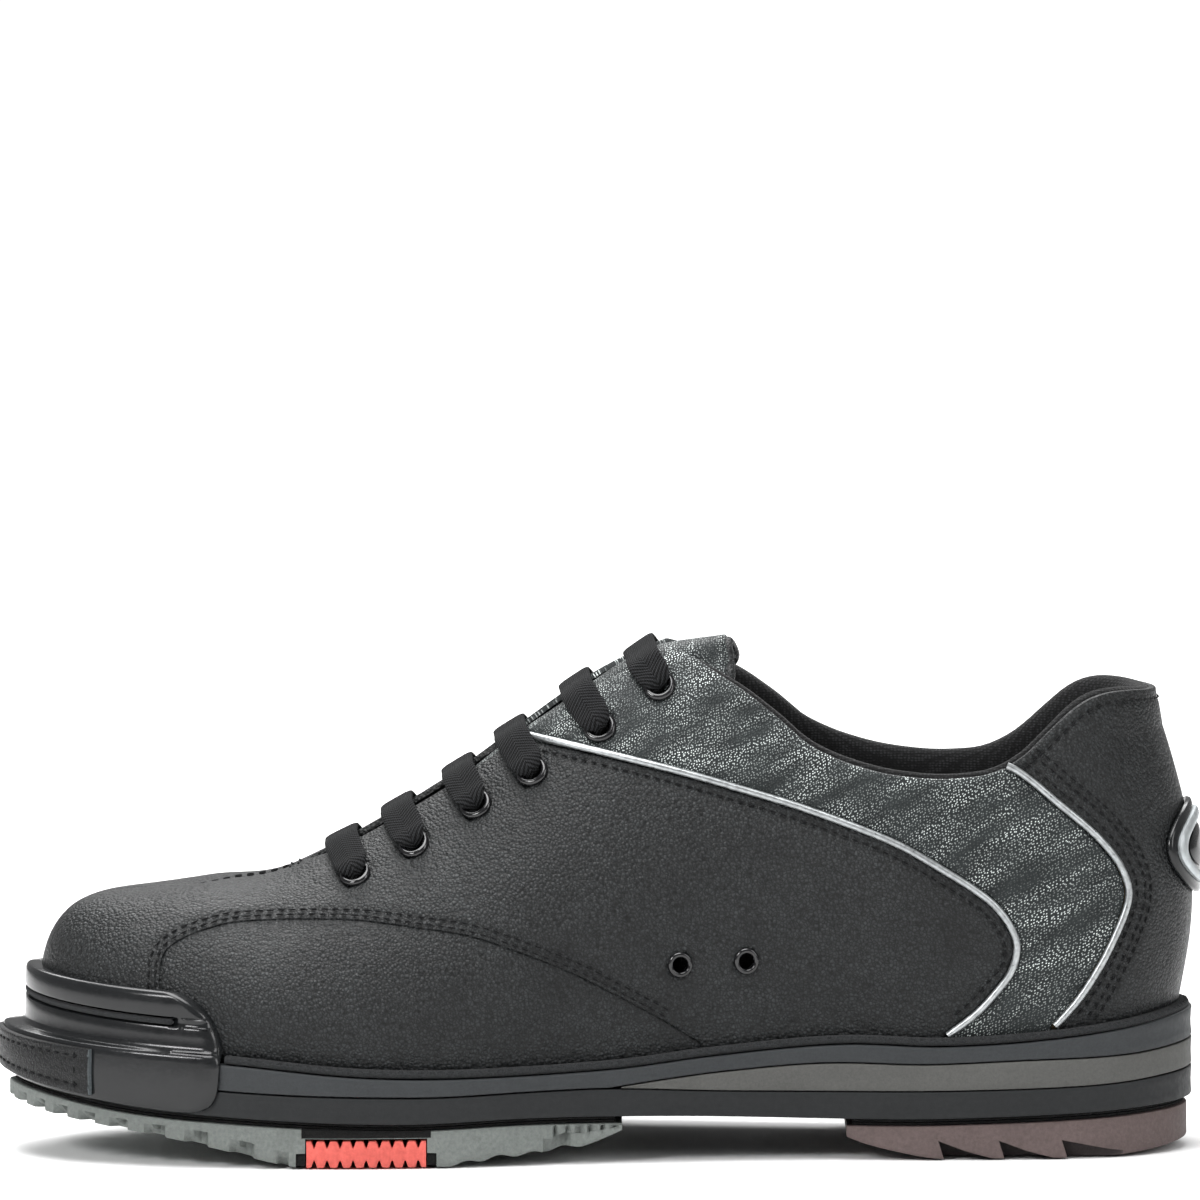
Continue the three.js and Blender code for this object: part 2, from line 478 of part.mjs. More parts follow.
// One lace in straight bars, its two ends tucked inside: bars 6, 4, 2, 1, 3 and 5 in the order it runs.
function laceStations() {
  const stations = [];
  const put = (point, flat, width, thick = LACE.thick) => {
    const last = stations[stations.length - 1];
    stations.push({ point, flat: last && last.flat.dot(flat) < 0 ? flat.clone().negate() : flat.clone(), width, thick });
  };
  const through = (side, row, inward, tucked = false) => {
    const e = eyeletFrame(side, row);
    const turned = tucked ? e.along : e.across;
    const path = [[4.7, LACE.over, 6, e.along], [2.4, 2.7, 4.2, e.along], [0.5, 2, LACE.gathered, e.along],
      [0, 0.2, LACE.gathered, e.along], [0, -2.4, LACE.gathered, e.along.clone().add(turned).normalize()],
      [0, -5.4, LACE.gathered, turned]];
    for (const [over, up, width, flat] of inward ? path : path.reverse()) {
      put(raised(e, up).addScaledVector(e.across, over), flat, width, Math.abs(over) > 2 ? LACE.thick : 1.5);
    }
  };
  const bar = (row, from) => {
    const e = eyeletFrame(from, row);
    const edge = valueAt(THROAT, e.point.x) + 0.8;
    const [near, far] = [from, -from].map((way) => raised(solveForm([e.t, 0.5 + way * 0.08],
      (p) => [p.clone().sub(e.point).dot(e.along), p.y - crestY(e.point.x) - way * edge]), LACE.over));
    const middle = near.clone().add(far).multiplyScalar(0.5).add(vector(-0.4, 0, 0.8));
    for (const point of [near, middle, far]) put(point, e.along, LACE.width);
  };
  const climb = (side, from, to, beside) => {
    const [a, b] = [eyeletFrame(side, from), eyeletFrame(side, to)];
    for (const share of [0.25, 0.5, 0.75]) {
      const at = a.point.clone().lerp(b.point, share);
      const spot = onSide(at.x, at.z, side);
      const across = a.across.clone().lerp(b.across, share);
      put(raised(spot, -LACE.under).addScaledVector(across, beside), across, LACE.inside);
    }
  };
  const tail = ({ row, spots }) => {
    const e = eyeletFrame(1, row);
    return spots.map(([x, z]) => ({ point: raised(onSide(x, z, 1), -LACE.under), flat: e.along }));
  };
  const [first, last] = TAILS;
  tail(first).reverse().forEach(({ point, flat }) => put(point, flat, LACE.inside));
  through(1, 6, false, true); bar(6, 1); through(-1, 6, true); climb(-1, 6, 4, LACE.beside);
  through(-1, 4, false); bar(4, -1); through(1, 4, true); climb(1, 4, 2, LACE.beside);
  through(1, 2, false); bar(2, 1); through(-1, 2, true); climb(-1, 2, 1, 0);
  through(-1, 1, false); bar(1, -1); through(1, 1, true); climb(1, 1, 3, -LACE.beside);
  through(1, 3, false); bar(3, 1); through(-1, 3, true); climb(-1, 3, 5, -LACE.beside);
  through(-1, 5, false); bar(5, -1); through(1, 5, true, true);
  tail(last).forEach(({ point, flat }) => put(point, flat, LACE.inside));
  return stations;
}

function addLace() {
  addPart("lace", band(laceStations(), 1), FINISH.lace);
  TAILS.forEach(({ row, tip }, i) => {
    const { along } = eyeletFrame(1, row);
    const stations = tip.map(([x, z]) => ({ point: raised(onSide(x, z, 1), -LACE.under), flat: along, width: 3.2, thick: 1.7 }));
    addPart(`aglet_${i + 1}`, band(stations, 1), FINISH.eyelet);
  });
}

// ---------------------------------------------------------------- toe guard and heel badge

// Guard section at outline step u: a band round the sole edge, a ledge, a wall, a groove and a lip.
function guardSection(u) {
  const k = clamp(u / 2.6, 0, 1);
  const blend = (tip, end) => tip + (end - tip) * k;
  const [low, ledge, groove, lip] = [blend(20.6, 12.6), blend(32, 27.8), blend(40, 35), blend(46.6, 42.6)];
  const out = guardBandOut(u);
  const foot = featherHeight(outlinePoint(u).x) + GAP;
  return [[MIDSOLE_OUT + GAP, low], [out - 0.8, low], [out, low + 0.9], [out, ledge - 0.9], [out - 0.8, ledge],
    [GUARD.wall + 0.4, ledge + 0.6], [GUARD.wall, groove - 1.4], [GUARD.groove, groove - 0.7],
    [GUARD.groove, groove + 0.7], [GUARD.wall, groove + 1.4], [GUARD.wall - 0.3, lip - 0.6],
    [GUARD.wall - 1, lip], [-5, lip], [-5, foot], [MIDSOLE_OUT + GAP, foot]];
}
function guardBandOut(u) {
  return 5.6 + 3.9 * clamp(1 - u / 2.6, 0, 1) ** 1.2;
}

function addToeGuard() {
  const body = toeSweep(GUARD.reach, guardSection, 20).intersect(sidePrism(GUARD_END));
  addPart("toe_guard", body.subtract(formSolid(-GAP, 20)), FINISH.guard);
  addPart("toe_strip", toeSweep(STRIP.reach, (u) => {
    const k = clamp(u / 2.6, 0, 1);
    const [low, high, near] = [21.7 - 8 * k, 30.9 - 4.2 * k, guardBandOut(u) + GAP];
    return [[near, low], [near + STRIP.thick, low], [near + STRIP.thick, high], [near, high]];
  }, 16), FINISH.leather);
}

// An oval seen from behind, pushed through the back of the heel.
function heelOval(half, tall) {
  const oval = new THREE.CylinderGeometry(1, 1, 60, 18).rotateZ(Math.PI / 2).scale(1, half, tall);
  return solidOf(oval.rotateX(0).translate(140, 0, BADGE.height));
}
function addBadge() {
  addPart("badge_plate", shell([BADGE.plate[0], BADGE.plate[1]]).intersect(heelOval(BADGE.half, BADGE.tall)), FINISH.guard);
  const ring = heelOval(BADGE.half - 2, BADGE.tall - 2.4).subtract(heelOval(BADGE.half - 2 - BADGE.rim, BADGE.tall - 2.4 - BADGE.rim));
  addPart("badge_ring", shell([BADGE.ring[0], BADGE.ring[1]]).intersect(ring), FINISH.silver);
}

// ---------------------------------------------------------------- midsole, soles and inner sole

const boxFrom = (x0, x1, z0, z1, y0 = -90, y1 = 90) => sidePrism([[x0, z0], [x1, z0], [x1, z1], [x0, z1]], y0, y1);

function addMidsole() {
  const wedgeStart = 8;
  const underTop = (x) => GAP + (x > wedgeStart - 1 ? Math.max(valueAt(BASE_TOP, x), valueAt(WEDGE_TOP, x)) : valueAt(BASE_TOP, x));
  addPart("midsole_top", layer(fixedOut(MIDSOLE_OUT), underTop, level(FEATHER_HEIGHT)), FINISH.midsoleTop);
  const wedge = layer(fixedOut(MIDSOLE_OUT), level(BASE_TOP, GAP), level(WEDGE_TOP), 5);
  addPart("midsole_wedge", wedge.intersect(boxFrom(wedgeStart, 200, 0, 60)), FINISH.midsoleWedge);
  addPart("midsole_base", layer(fixedOut(MIDSOLE_OUT), level(BASE_BOTTOM), level(BASE_TOP)), FINISH.midsoleBase);
  const welt = layer(fixedOut(WELT.out), level(FEATHER_HEIGHT, GAP), level(FEATHER_HEIGHT, GAP + WELT.thick));
  addPart("welt", welt.subtract(formSolid(-GAP, 20)).intersect(boxFrom(WELT.start, 200, 0, 60)), FINISH.fabric);
  const boardOut = (t) => BOARD.front + (BOARD.rear - BOARD.front) * clamp((t - 4.5) / 1.2, 0, 1);
  addPart("insole_board", layer(boardOut, level(FEATHER_HEIGHT, GAP), level(FEATHER_HEIGHT, GAP + BOARD.thick)), FINISH.board);
  const bed = 2 * GAP + BOARD.thick;
  addPart("footbed", layer((t) => boardOut(t) - 0.6, level(FEATHER_HEIGHT, bed), level(FEATHER_HEIGHT, bed + FOOTBED_THICK)),
    FINISH.lining);
}

// The fabric pair between the base and a pad: hooks stay on the shoe, loops leave with the pad.
function addFabricPair(place, zone, t0, t1) {
  const { gap, thick } = FABRIC;
  const panel = (top) => layer(tippedOut(FABRIC_OUT), level(BASE_BOTTOM, -top - thick), level(BASE_BOTTOM, -top), t0, t1);
  addPart(`hook_panel_${place}`, panel(gap).intersect(zone), FINISH.fabric);
  addPart(`loop_panel_${place}`, panel(2 * gap + thick).intersect(zone), FINISH.fabric);
}

function addFrontSole() {
  const zone = boxFrom(-200, FRONT_END, -5, 60);
  addFabricPair("front", boxFrom(-200, FRONT_END - 1.5, -5, 60), 0.04, 5.4);
  const pad = layer(tippedOut(PAD_OUT), level(SOLE_BOTTOM), level(BASE_BOTTOM, -PAD_DROP), 0.04, 5.4).intersect(zone);
  const [start, end, roof] = [-72.5, -42.5, 7.2];
  const notches = [];
  for (let u = 0.35; u < 5; u += 0.36) {
    for (const turn of [u, 2 * STEPS - u]) {
      const spot = outlinePoint(turn, tippedOut(PAD_OUT)(u) - 0.9);
      if (spot.x > start - 7 && spot.x < end + 7) continue;
      const along = featherLoop.getTangent((turn / FEATHER.length) % 1);
      const box = new THREE.BoxGeometry(3, 2.4, 6).rotateZ(Math.atan2(along.y, along.x));
      notches.push(solidOf(box.translate(spot.x, spot.y, valueAt(SOLE_BOTTOM, spot.x))));
    }
  }
  const pocket = boxFrom(start, end, -5, roof);
  addPart("front_sole", pad.subtract(wasm.Manifold.union(notches)).subtract(pocket), FINISH.soleGrey);
  const [x0, pitch, folds, deep] = [start + GAP, 3.2, 9, 2.2];
  const width = end - start - 2 * GAP;
  const edge = (z, way) => Array.from({ length: folds }, (_, i) => {
    const x = x0 + (width - pitch * folds) / 2 + pitch * (i + 0.5);
    return [[x - 0.65, z], [x, z + way * deep], [x + 0.65, z]];
  }).flat();
  const profile = [[x0, -2], ...edge(-2, 1).map(([x, z]) => [x, z > -2 ? deep : -2]), [x0 + width, -2],
    [x0 + width, roof - GAP], ...edge(roof - GAP, -1).reverse(), [x0, roof - GAP]];
  addPart("flex_insert", pad.intersect(sidePrism(profile)), FINISH.flexRed);
}

function addHeel() {
  const pad = layer(fixedOut(PAD_OUT.side), level(HEEL_BOTTOM), level(BASE_BOTTOM, -PAD_DROP), 5.9);
  addFabricPair("heel", boxFrom(HEEL_START + 1.5, 200, -5, 60), 5.9, STEPS - 0.04);
  const teeth = [[83, 97], [99, 113], [115, 129]].flatMap(([tip, open]) => SIDES.map(([side]) =>
    sidePrism([[tip, 4.6], [open, 2.6], [open, 6.4]], side < 0 ? -90 : 31, side < 0 ? -30 : 90)));
  addPart("heel_pad", pad.intersect(boxFrom(HEEL_START, 200, -5, 60)).subtract(wasm.Manifold.union(teeth)), FINISH.heelBrown);
}

addPanels(addPiping());
addInnerLayers();
[...eyelets, ...vents].forEach(addEyelet);
addTongue();
addLace();
addToeGuard();
addBadge();
addMidsole();
addFrontSole();
addHeel();

export default shoe;
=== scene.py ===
"""Looks of a low-cut bowling shoe for the right foot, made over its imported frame.

The upper is cut as flat patterns on one shoe form: each pattern is laid out in girth coordinates (distance along
the shoe, distance from the crest), filled with an even mesh, and wrapped back on to the form.
"""
import math

import bmesh
import bpy
import numpy as np
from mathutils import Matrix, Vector
from mathutils.geometry import delaunay_2d_cdt

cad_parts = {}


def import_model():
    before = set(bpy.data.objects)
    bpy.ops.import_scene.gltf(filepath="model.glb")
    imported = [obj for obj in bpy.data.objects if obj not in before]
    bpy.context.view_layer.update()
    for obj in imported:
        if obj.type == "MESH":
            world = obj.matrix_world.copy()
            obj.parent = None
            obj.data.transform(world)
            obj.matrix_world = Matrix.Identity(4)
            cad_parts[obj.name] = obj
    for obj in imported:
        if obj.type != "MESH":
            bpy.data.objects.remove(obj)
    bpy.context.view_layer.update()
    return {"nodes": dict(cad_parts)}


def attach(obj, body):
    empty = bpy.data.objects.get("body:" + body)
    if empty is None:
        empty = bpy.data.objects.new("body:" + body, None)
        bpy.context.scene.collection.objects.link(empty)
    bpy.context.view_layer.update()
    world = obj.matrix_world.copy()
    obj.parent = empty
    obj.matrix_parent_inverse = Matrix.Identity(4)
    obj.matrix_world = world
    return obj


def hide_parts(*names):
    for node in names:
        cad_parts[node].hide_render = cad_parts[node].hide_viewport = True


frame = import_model()
MM = 0.001


# ---------------------------------------------------------------- the shoe form, in millimetres

FEATHER = np.array([
    (-139, -8), (-132, -26), (-112, -41), (-80, -49), (-42, -48), (0, -39), (44, -32), (86, -32), (121, -28.5),
    (138.5, -16.5), (144, 0), (138.5, 16.5), (121, 28.5), (86, 34), (44, 38.5), (0, 45.5), (-40, 50.5), (-76, 47),
    (-108, 33), (-131, 12)], float)
RIDGE = np.array([
    (-101, -7, 65), (-99, -7, 65.2), (-91, -6.5, 67), (-74, -6, 71.5), (-41, -4, 92.3), (0, -2, 121), (38, 0, 140),
    (66, 0, 160), (82, 0, 170), (90, 0, 174), (92, 0, 175)], float)
SECTION = np.array([
    (4, 4, 0.5, 0.8), (3.8, 3.8, 1, 0.8), (2.9, 2.9, 2, 0.8), (1.85, 2.2, 3, 0.8), (1.5, 1.95, 3.4, 0.8),
    (1.9, 2.1, 3, 0.8), (2.1, 2.2, 2.6, 0.7), (2.4, 2.4, 3, 0.6), (2.5, 2.5, 3.8, 0.52), (2.5, 2.5, 4.3, 0.5),
    (2.5, 2.5, 4.4, 0.5)], float)
STEPS = len(RIDGE) - 1
FEATHER_HEIGHT = [(-150, 28.5), (-120, 26.5), (-92, 25.2), (-60, 22.2), (-35, 21.6), (3, 23), (28, 25.8), (60, 28.4),
                  (84, 27.8), (105, 28.8), (130, 31.6), (148, 34.8)]
WEDGE_TOP = [(4, 18.6), (17, 20.4), (30, 21.9), (56, 23.8), (81, 23.4), (105, 24.3), (132, 25.2), (148, 27)]
BASE_TOP = [(-150, 24), (-120, 21.5), (-92, 18.6), (-45, 17.1), (-15, 18), (3, 18.3), (30, 17.2), (56, 16.8),
            (90, 16.9), (125, 18), (148, 20)]
BASE_BOTTOM = [(-150, 19.5), (-120, 14.6), (-92, 12.4), (-50, 10.7), (-17, 11.6), (17, 11.3), (55, 10.2), (80, 10),
               (112, 10.9), (148, 12.6)]
SOLE_BOTTOM = [(-150, 13.8), (-137, 11), (-121, 8.8), (-106, 6.6), (-91, 3.6), (-80, 1), (-73, 0), (-37, 0),
               (-26, 1.6), (-12, 2.8), (-4, 4.2), (2, 6.4), (8, 9)]
HEEL_BOTTOM = [(58, 7), (64, 4.2), (74, 1.6), (84, 0), (122, 0), (136, 0.8), (148, 2.4)]
SIDE_SEAM = [(-108, 38), (-108.4, 46), (-107.5, 51.8), (-103.5, 55.2), (-96.7, 57.8), (-86.7, 59.6), (-63, 60.2),
             (-45, 58.4), (-30, 55.8), (-10, 48.2), (3, 41.6), (17, 33.6), (33, 23)]
PIPING_FRONT = [(-22, 104), (-7.5, 101.7), (4.5, 99.2), (20.4, 95.4), (36, 91), (50, 86.8), (64.7, 81.6), (74.7, 77.4),
                (84.7, 71.7), (92.5, 66.8), (97.5, 62.8), (101.4, 57.6), (103, 52.4), (101.6, 46.6), (98.6, 42.2),
                (93, 36), (86, 30.5), (78, 24)]
PIPING_HEEL = [(94, 99), (101.4, 96.8), (106.9, 93.2), (112.3, 88.6), (117.7, 84.2), (123, 79.4), (127.5, 74),
               (130, 69), (130.7, 65), (129.6, 60.3), (126.4, 52.9), (123, 46.5), (117.7, 38.5), (110, 30), (104, 24)]
TOPLINE = [(-4, 128.5), (6, 127.6), (15, 126.2), (22.7, 123.4), (28.5, 119.8), (36, 115), (43, 109.5), (53, 101.5),
           (67, 96.2), (81, 94.2), (92, 94.6), (98, 96), (105, 100), (111, 105.6), (117, 110.8), (122, 113.6),
           (128, 114.9), (137, 114.6), (150, 113.5)]
THROAT = [(-72, 4), (-66, 7.5), (-40, 9), (0, 10.5), (30, 12.5), (70, 15)]
EYELET_ROWS = [(-60.5, 70), (-46, 77.2), (-30.7, 86.8), (-16.8, 95), (0, 105.9), (14.7, 116)]
VENT_SPOTS = [(19.8, 48.6), (36.2, 49.2)]
MIDSOLE_OUT = 3.6
CREST_ROWS = 9          # ridge stations whose x tells them apart
MISS = 0.05             # how far a solved place may be from the wanted one


def value_at(points, x):
    """A smooth value through (x, value) points, level beyond both ends."""
    p = np.asarray(points, float)
    x = np.asarray(x, float)
    slope = np.empty(len(p))
    slope[1:-1] = (p[2:, 1] - p[:-2, 1]) / (p[2:, 0] - p[:-2, 0])
    slope[0] = (p[1, 1] - p[0, 1]) / (p[1, 0] - p[0, 0])
    slope[-1] = (p[-1, 1] - p[-2, 1]) / (p[-1, 0] - p[-2, 0])
    xc = np.clip(x, p[0, 0], p[-1, 0])
    i = np.clip(np.searchsorted(p[:, 0], xc, side="right") - 1, 0, len(p) - 2)
    span = p[i + 1, 0] - p[i, 0]
    s = (xc - p[i, 0]) / span
    return (p[i, 1] * (1 + 2 * s) * (1 - s) ** 2 + slope[i] * span * s * (1 - s) ** 2
            + p[i + 1, 1] * s * s * (3 - 2 * s) + slope[i + 1] * span * s * s * (s - 1))


def smooth_line(points, per=8):
    """A dense, even line through open points of any dimension."""
    p = np.asarray(points, float)
    p = np.vstack([2 * p[0] - p[1], p, 2 * p[-1] - p[-2]])
    s = np.linspace(0, 1, per, endpoint=False)[:, None]
    out = [spline(p[i], p[i + 1], p[i + 2], p[i + 3], s) for i in range(len(p) - 3)]
    return np.vstack(out + [p[-2][None]])


def spline(a, b, c, d, s):
    return 0.5 * (2 * b + (c - a) * s + (2 * a - 5 * b + 4 * c - d) * s ** 2 + (3 * b - a - 3 * c + d) * s ** 3)


def outline(u, out=0.0):
    """Plan points on the feather line, moved outwards by out; u runs 0 toe, 10 heel, 20 toe."""
    u = np.mod(np.asarray(u, float), len(FEATHER))
    i = np.floor(u).astype(int) % len(FEATHER)
    s = (u - np.floor(u))[..., None]
    n = len(FEATHER)
    a, b, c, d = (FEATHER[(i + k) % n] for k in (-1, 0, 1, 2))
    p = spline(a, b, c, d, s)
    way = 0.5 * ((c - a) + 2 * (2 * a - 5 * b + 4 * c - d) * s + 3 * (3 * b - a - 3 * c + d) * s ** 2)
    way /= np.linalg.norm(way, axis=-1, keepdims=True)
    out = np.asarray(out, float)[..., None]
    return p + np.concatenate([way[..., 1:], -way[..., :1]], axis=-1) * out


def crest(t):
    p = np.vstack([2 * RIDGE[0] - RIDGE[1], RIDGE, 2 * RIDGE[-1] - RIDGE[-2]])
    t = np.clip(np.asarray(t, float), 0, STEPS - 1e-9)
    i = np.floor(t).astype(int)
    return spline(p[i], p[i + 1], p[i + 2], p[i + 3], (t - i)[..., None])


def crest_y(x):
    return value_at(RIDGE[:CREST_ROWS, :2], x)


def form(t, v):
    """Points of the shoe form: t toe to heel, v from the medial feather line (0) over the crest to the lateral (1)."""
    t, v = np.broadcast_arrays(np.clip(np.asarray(t, float), 0, STEPS), np.clip(np.asarray(v, float), 0, 1))
    power_crest, power_wall, swell, reach = (value_at(np.column_stack([np.arange(len(SECTION)), column]), t)
                                             for column in SECTION.T)
    angle = np.minimum(v, 1 - v) * math.pi
    foot = outline(np.where(v < 0.5, t, 2 * STEPS - t))
    top = crest(t)
    away = foot - top[..., :2]
    rise = np.maximum(np.sin(angle), 0) ** (2 / power_wall)
    share = np.minimum(rise / reach, 1)
    spread = np.maximum(np.cos(angle), 0) ** (2 / power_crest)
    spread = spread + np.maximum(np.sin(math.pi * share), 0) * swell / np.linalg.norm(away, axis=-1)
    low = value_at(FEATHER_HEIGHT, foot[..., 0])
    z = low + (top[..., 2] - low) * rise
    return np.concatenate([top[..., :2] + away * spread[..., None], z[..., None]], axis=-1)


def form_normal(t, v, d=0.02):
    along = form(np.minimum(t + d, STEPS - 0.01), v) - form(np.maximum(t - d, 0.01), v)
    across = form(t, np.minimum(v + d, 1)) - form(t, np.maximum(v - d, 0))
    n = np.cross(along, across)
    return n / np.linalg.norm(n, axis=-1, keepdims=True)


def off_form(t, v, height):
    """Points standing off the form by height, inside it where negative."""
    normal = form_normal(np.clip(t, 0.02, STEPS - 0.02), np.clip(v, 0.002, 0.998))
    return form(t, v) + normal * np.broadcast_to(np.asarray(height, float), np.shape(t))[..., None]


def solve(t, v, miss, rounds=60):
    """Form places where miss(points) is zero in both its columns, from first guesses."""
    d = 1e-3
    for _ in range(rounds):
        m, mt, mv = miss(form(t, v)), miss(form(t + d, v)), miss(form(t, v + d))
        p, q = (mt[:, 0] - m[:, 0]) / d, (mv[:, 0] - m[:, 0]) / d
        r, s = (mt[:, 1] - m[:, 1]) / d, (mv[:, 1] - m[:, 1]) / d
        det = p * s - q * r
        det = np.where(np.abs(det) < 1e-9, 1e-9, det)
        t = np.clip(t + np.clip((q * m[:, 1] - s * m[:, 0]) / det, -0.4, 0.4), 0.02, 9.98)
        v = np.clip(v + np.clip((r * m[:, 0] - p * m[:, 1]) / det, -0.04, 0.04), 0.002, 0.998)
    return t, v, np.abs(miss(form(t, v))).max(axis=1)


def on_side(xz, side):
    """(t, v) of the wall places seen at (x, z) from the side, and how far each missed."""
    xz = np.asarray(xz, float)
    t = np.clip(5 + xz[:, 0] / 40, 0.3, 9.7)
    v = np.full(len(xz), 0.25 if side < 0 else 0.75)
    return solve(t, v, lambda p: np.column_stack([p[:, 0] - xz[:, 0], p[:, 2] - xz[:, 1]]))


def from_above(x, y, v):
    """(t, v) of the places near the crest seen at (x, y) from above, first guessed at v, and how far each missed."""
    t = np.interp(x, RIDGE[:CREST_ROWS, 0], np.arange(CREST_ROWS))
    return solve(t, v, lambda p: np.column_stack([p[:, 0] - x, p[:, 1] - y]))


# Girth coordinates: a is the distance along the shoe, g the distance from the crest (negative on the medial side).
T_CELLS, X_CELLS = 200, 240


def half_at(x):
    """Share of the section from its foot (0) to the crest (0.5), in steps that crowd towards both."""
    return 0.5 * x ** 3 / (x ** 3 + (1 - x) ** 3)


def cell(share, cells):
    """Whole and odd part of a place in a table, kept inside it."""
    at = np.clip(share * cells, 0, cells - 0.001)
    whole = at.astype(int)
    return whole, at - whole


TABLE_T = np.linspace(0, STEPS, T_CELLS + 1)
TABLE_V = half_at(np.linspace(0, 1, X_CELLS + 1))


def girth_table(side):
    v = TABLE_V if side < 0 else 1 - TABLE_V
    p = form(TABLE_T[:, None], v[None, :])
    steps = np.linalg.norm(np.diff(p, axis=1), axis=2)
    from_foot = np.hstack([np.zeros((len(TABLE_T), 1)), np.cumsum(steps, axis=1)])
    return from_foot[:, -1:] - from_foot


def run_of(points):
    """Distance run along a polyline at each of its points."""
    return np.concatenate([[0], np.cumsum(np.linalg.norm(np.diff(points, axis=0), axis=1))])


GIRTH = {-1: girth_table(-1), 1: girth_table(1)}
TABLE_A = run_of(form(TABLE_T, 0.25))
A_END = TABLE_A[-1]


def to_girth(t, v):
    """Form place to girth coordinates."""
    t, v = np.asarray(t, float), np.asarray(v, float)
    half = np.minimum(np.minimum(v, 1 - v), 0.5 - 1e-12)
    ratio = np.cbrt(half / (0.5 - half))
    i, fi = cell(t / STEPS, T_CELLS)
    k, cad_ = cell(ratio / (1 + ratio), X_CELLS)
    g = np.zeros_like(t)
    for side, table in GIRTH.items():
        here = ((table[i, k] * (1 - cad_) + table[i, k + 1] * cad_) * (1 - fi)
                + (table[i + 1, k] * (1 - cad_) + table[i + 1, k + 1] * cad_) * fi)
        g = np.where((v >= 0.5) == (side > 0), here * side, g)
    return np.column_stack([np.interp(t, TABLE_T, TABLE_A), g])


def from_girth(ag):
    """Girth coordinates to a form place; beyond the heel line the coordinates carry on round to the other side."""
    a, g = ag[:, 0].copy(), ag[:, 1].copy()
    g = np.where(a > A_END, -g, g)
    a = np.where(a > A_END, 2 * A_END - a, a)
    t = np.interp(a, TABLE_A, TABLE_T)
    i, fi = cell(t / STEPS, T_CELLS)
    fi = fi[:, None]
    v = np.empty_like(t)
    for side, table in GIRTH.items():
        pick = (g >= 0) == (side > 0)
        if not pick.any():
            continue
        rows = table[i[pick]] * (1 - fi[pick]) + table[i[pick] + 1] * fi[pick]
        want = np.minimum(np.abs(g[pick]), rows[:, 0])
        k = np.clip((rows > want[:, None]).sum(axis=1) - 1, 0, X_CELLS - 1)
        n = np.arange(len(want))
        high, low = rows[n, k], rows[n, k + 1]
        half = half_at((k + (high - want) / np.maximum(high - low, 1e-9)) / X_CELLS)
        v[pick] = np.clip(half if side < 0 else 1 - half, 0, 1)
    return t, v


def place(ag, height=0.0):
    """Girth coordinates to points standing above the form by height (below where negative)."""
    t, v = from_girth(np.asarray(ag, float))
    inner = np.clip(t, 0.02, STEPS - 0.02)
    normal = form_normal(inner, np.clip(v, 0.001, 0.999))
    return form(t, v) + normal * np.broadcast_to(np.asarray(height, float), t.shape)[:, None], normal


def even(points, spacing, closed=False):
    """A polyline resampled to an even spacing."""
    p = np.asarray(points, float)
    if closed:
        p = np.vstack([p, p[:1]])
    run = run_of(p)
    keep = np.concatenate([[True], np.diff(run) > 1e-9])
    p, run = p[keep], run[keep]
    n = max(int(round(run[-1] / spacing)), 1)
    at = np.linspace(0, run[-1], n + 1)[: n if closed else None]
    return np.column_stack([np.interp(at, run, p[:, k]) for k in range(p.shape[1])])


def before(p, q):
    """Polyline p up to where it first crosses polyline q."""
    e = q[1:] - q[:-1]
    for i in range(len(p) - 1):
        d, w = p[i + 1] - p[i], q[:-1] - p[i]
        den = d[0] * e[:, 1] - d[1] * e[:, 0]
        den = np.where(np.abs(den) < 1e-12, 1e-12, den)
        s = (w[:, 0] * e[:, 1] - w[:, 1] * e[:, 0]) / den
        r = (w[:, 0] * d[1] - w[:, 1] * d[0]) / den
        hit = (s >= 0) & (s <= 1) & (r >= 0) & (r <= 1)
        if hit.any():
            return np.vstack([p[: i + 1], p[i] + d * s[hit].min()])
    raise ValueError("two pattern lines don't meet")


def after(p, q):
    """Polyline p from where it last crosses polyline q."""
    return before(p[::-1], q)[::-1]


def inside(points, loop):
    x, y = points[:, 0], points[:, 1]
    a, b = loop, np.roll(loop, -1, axis=0)
    found = np.zeros(len(points), bool)
    for (x0, y0), (x1, y1) in zip(a, b):
        if y0 == y1:
            continue
        found ^= ((y0 > y) != (y1 > y)) & (x < (x1 - x0) * (y - y0) / (y1 - y0) + x0)
    return found


def gap_to(points, line):
    """Distance from each point to a polyline, in any dimension."""
    a, b = line[:-1], line[1:]
    d = b - a
    best, lot = np.full(len(points), np.inf), 4000
    for start in range(0, len(points), lot):
        p = points[start:start + lot, None, :]
        s = np.clip(((p - a) * d).sum(-1) / np.maximum((d * d).sum(-1), 1e-12), 0, 1)
        best[start:start + lot] = np.linalg.norm(p - (a + s[..., None] * d), axis=-1).min(axis=1)
    return best


# ---------------------------------------------------------------- pattern lines in girth coordinates


def wall_line(points, side):
    t, v, miss = on_side(smooth_line(points, 6), side)
    good = (miss < MISS) & (t < 9.97)
    return to_girth(t[good], v[good])


def foot_line(side):
    t = np.interp(np.linspace(0, A_END, 300), TABLE_A, TABLE_T)
    return to_girth(t, np.full(300, 1e-6 if side < 0 else 1 - 1e-6))


def throat_line(side):
    x = np.linspace(-72, 34, 60)
    t, v, miss = from_above(x, crest_y(x) + side * value_at(THROAT, x), np.full(60, 0.5 + 0.06 * side))
    return to_girth(t[miss < MISS], v[miss < MISS])


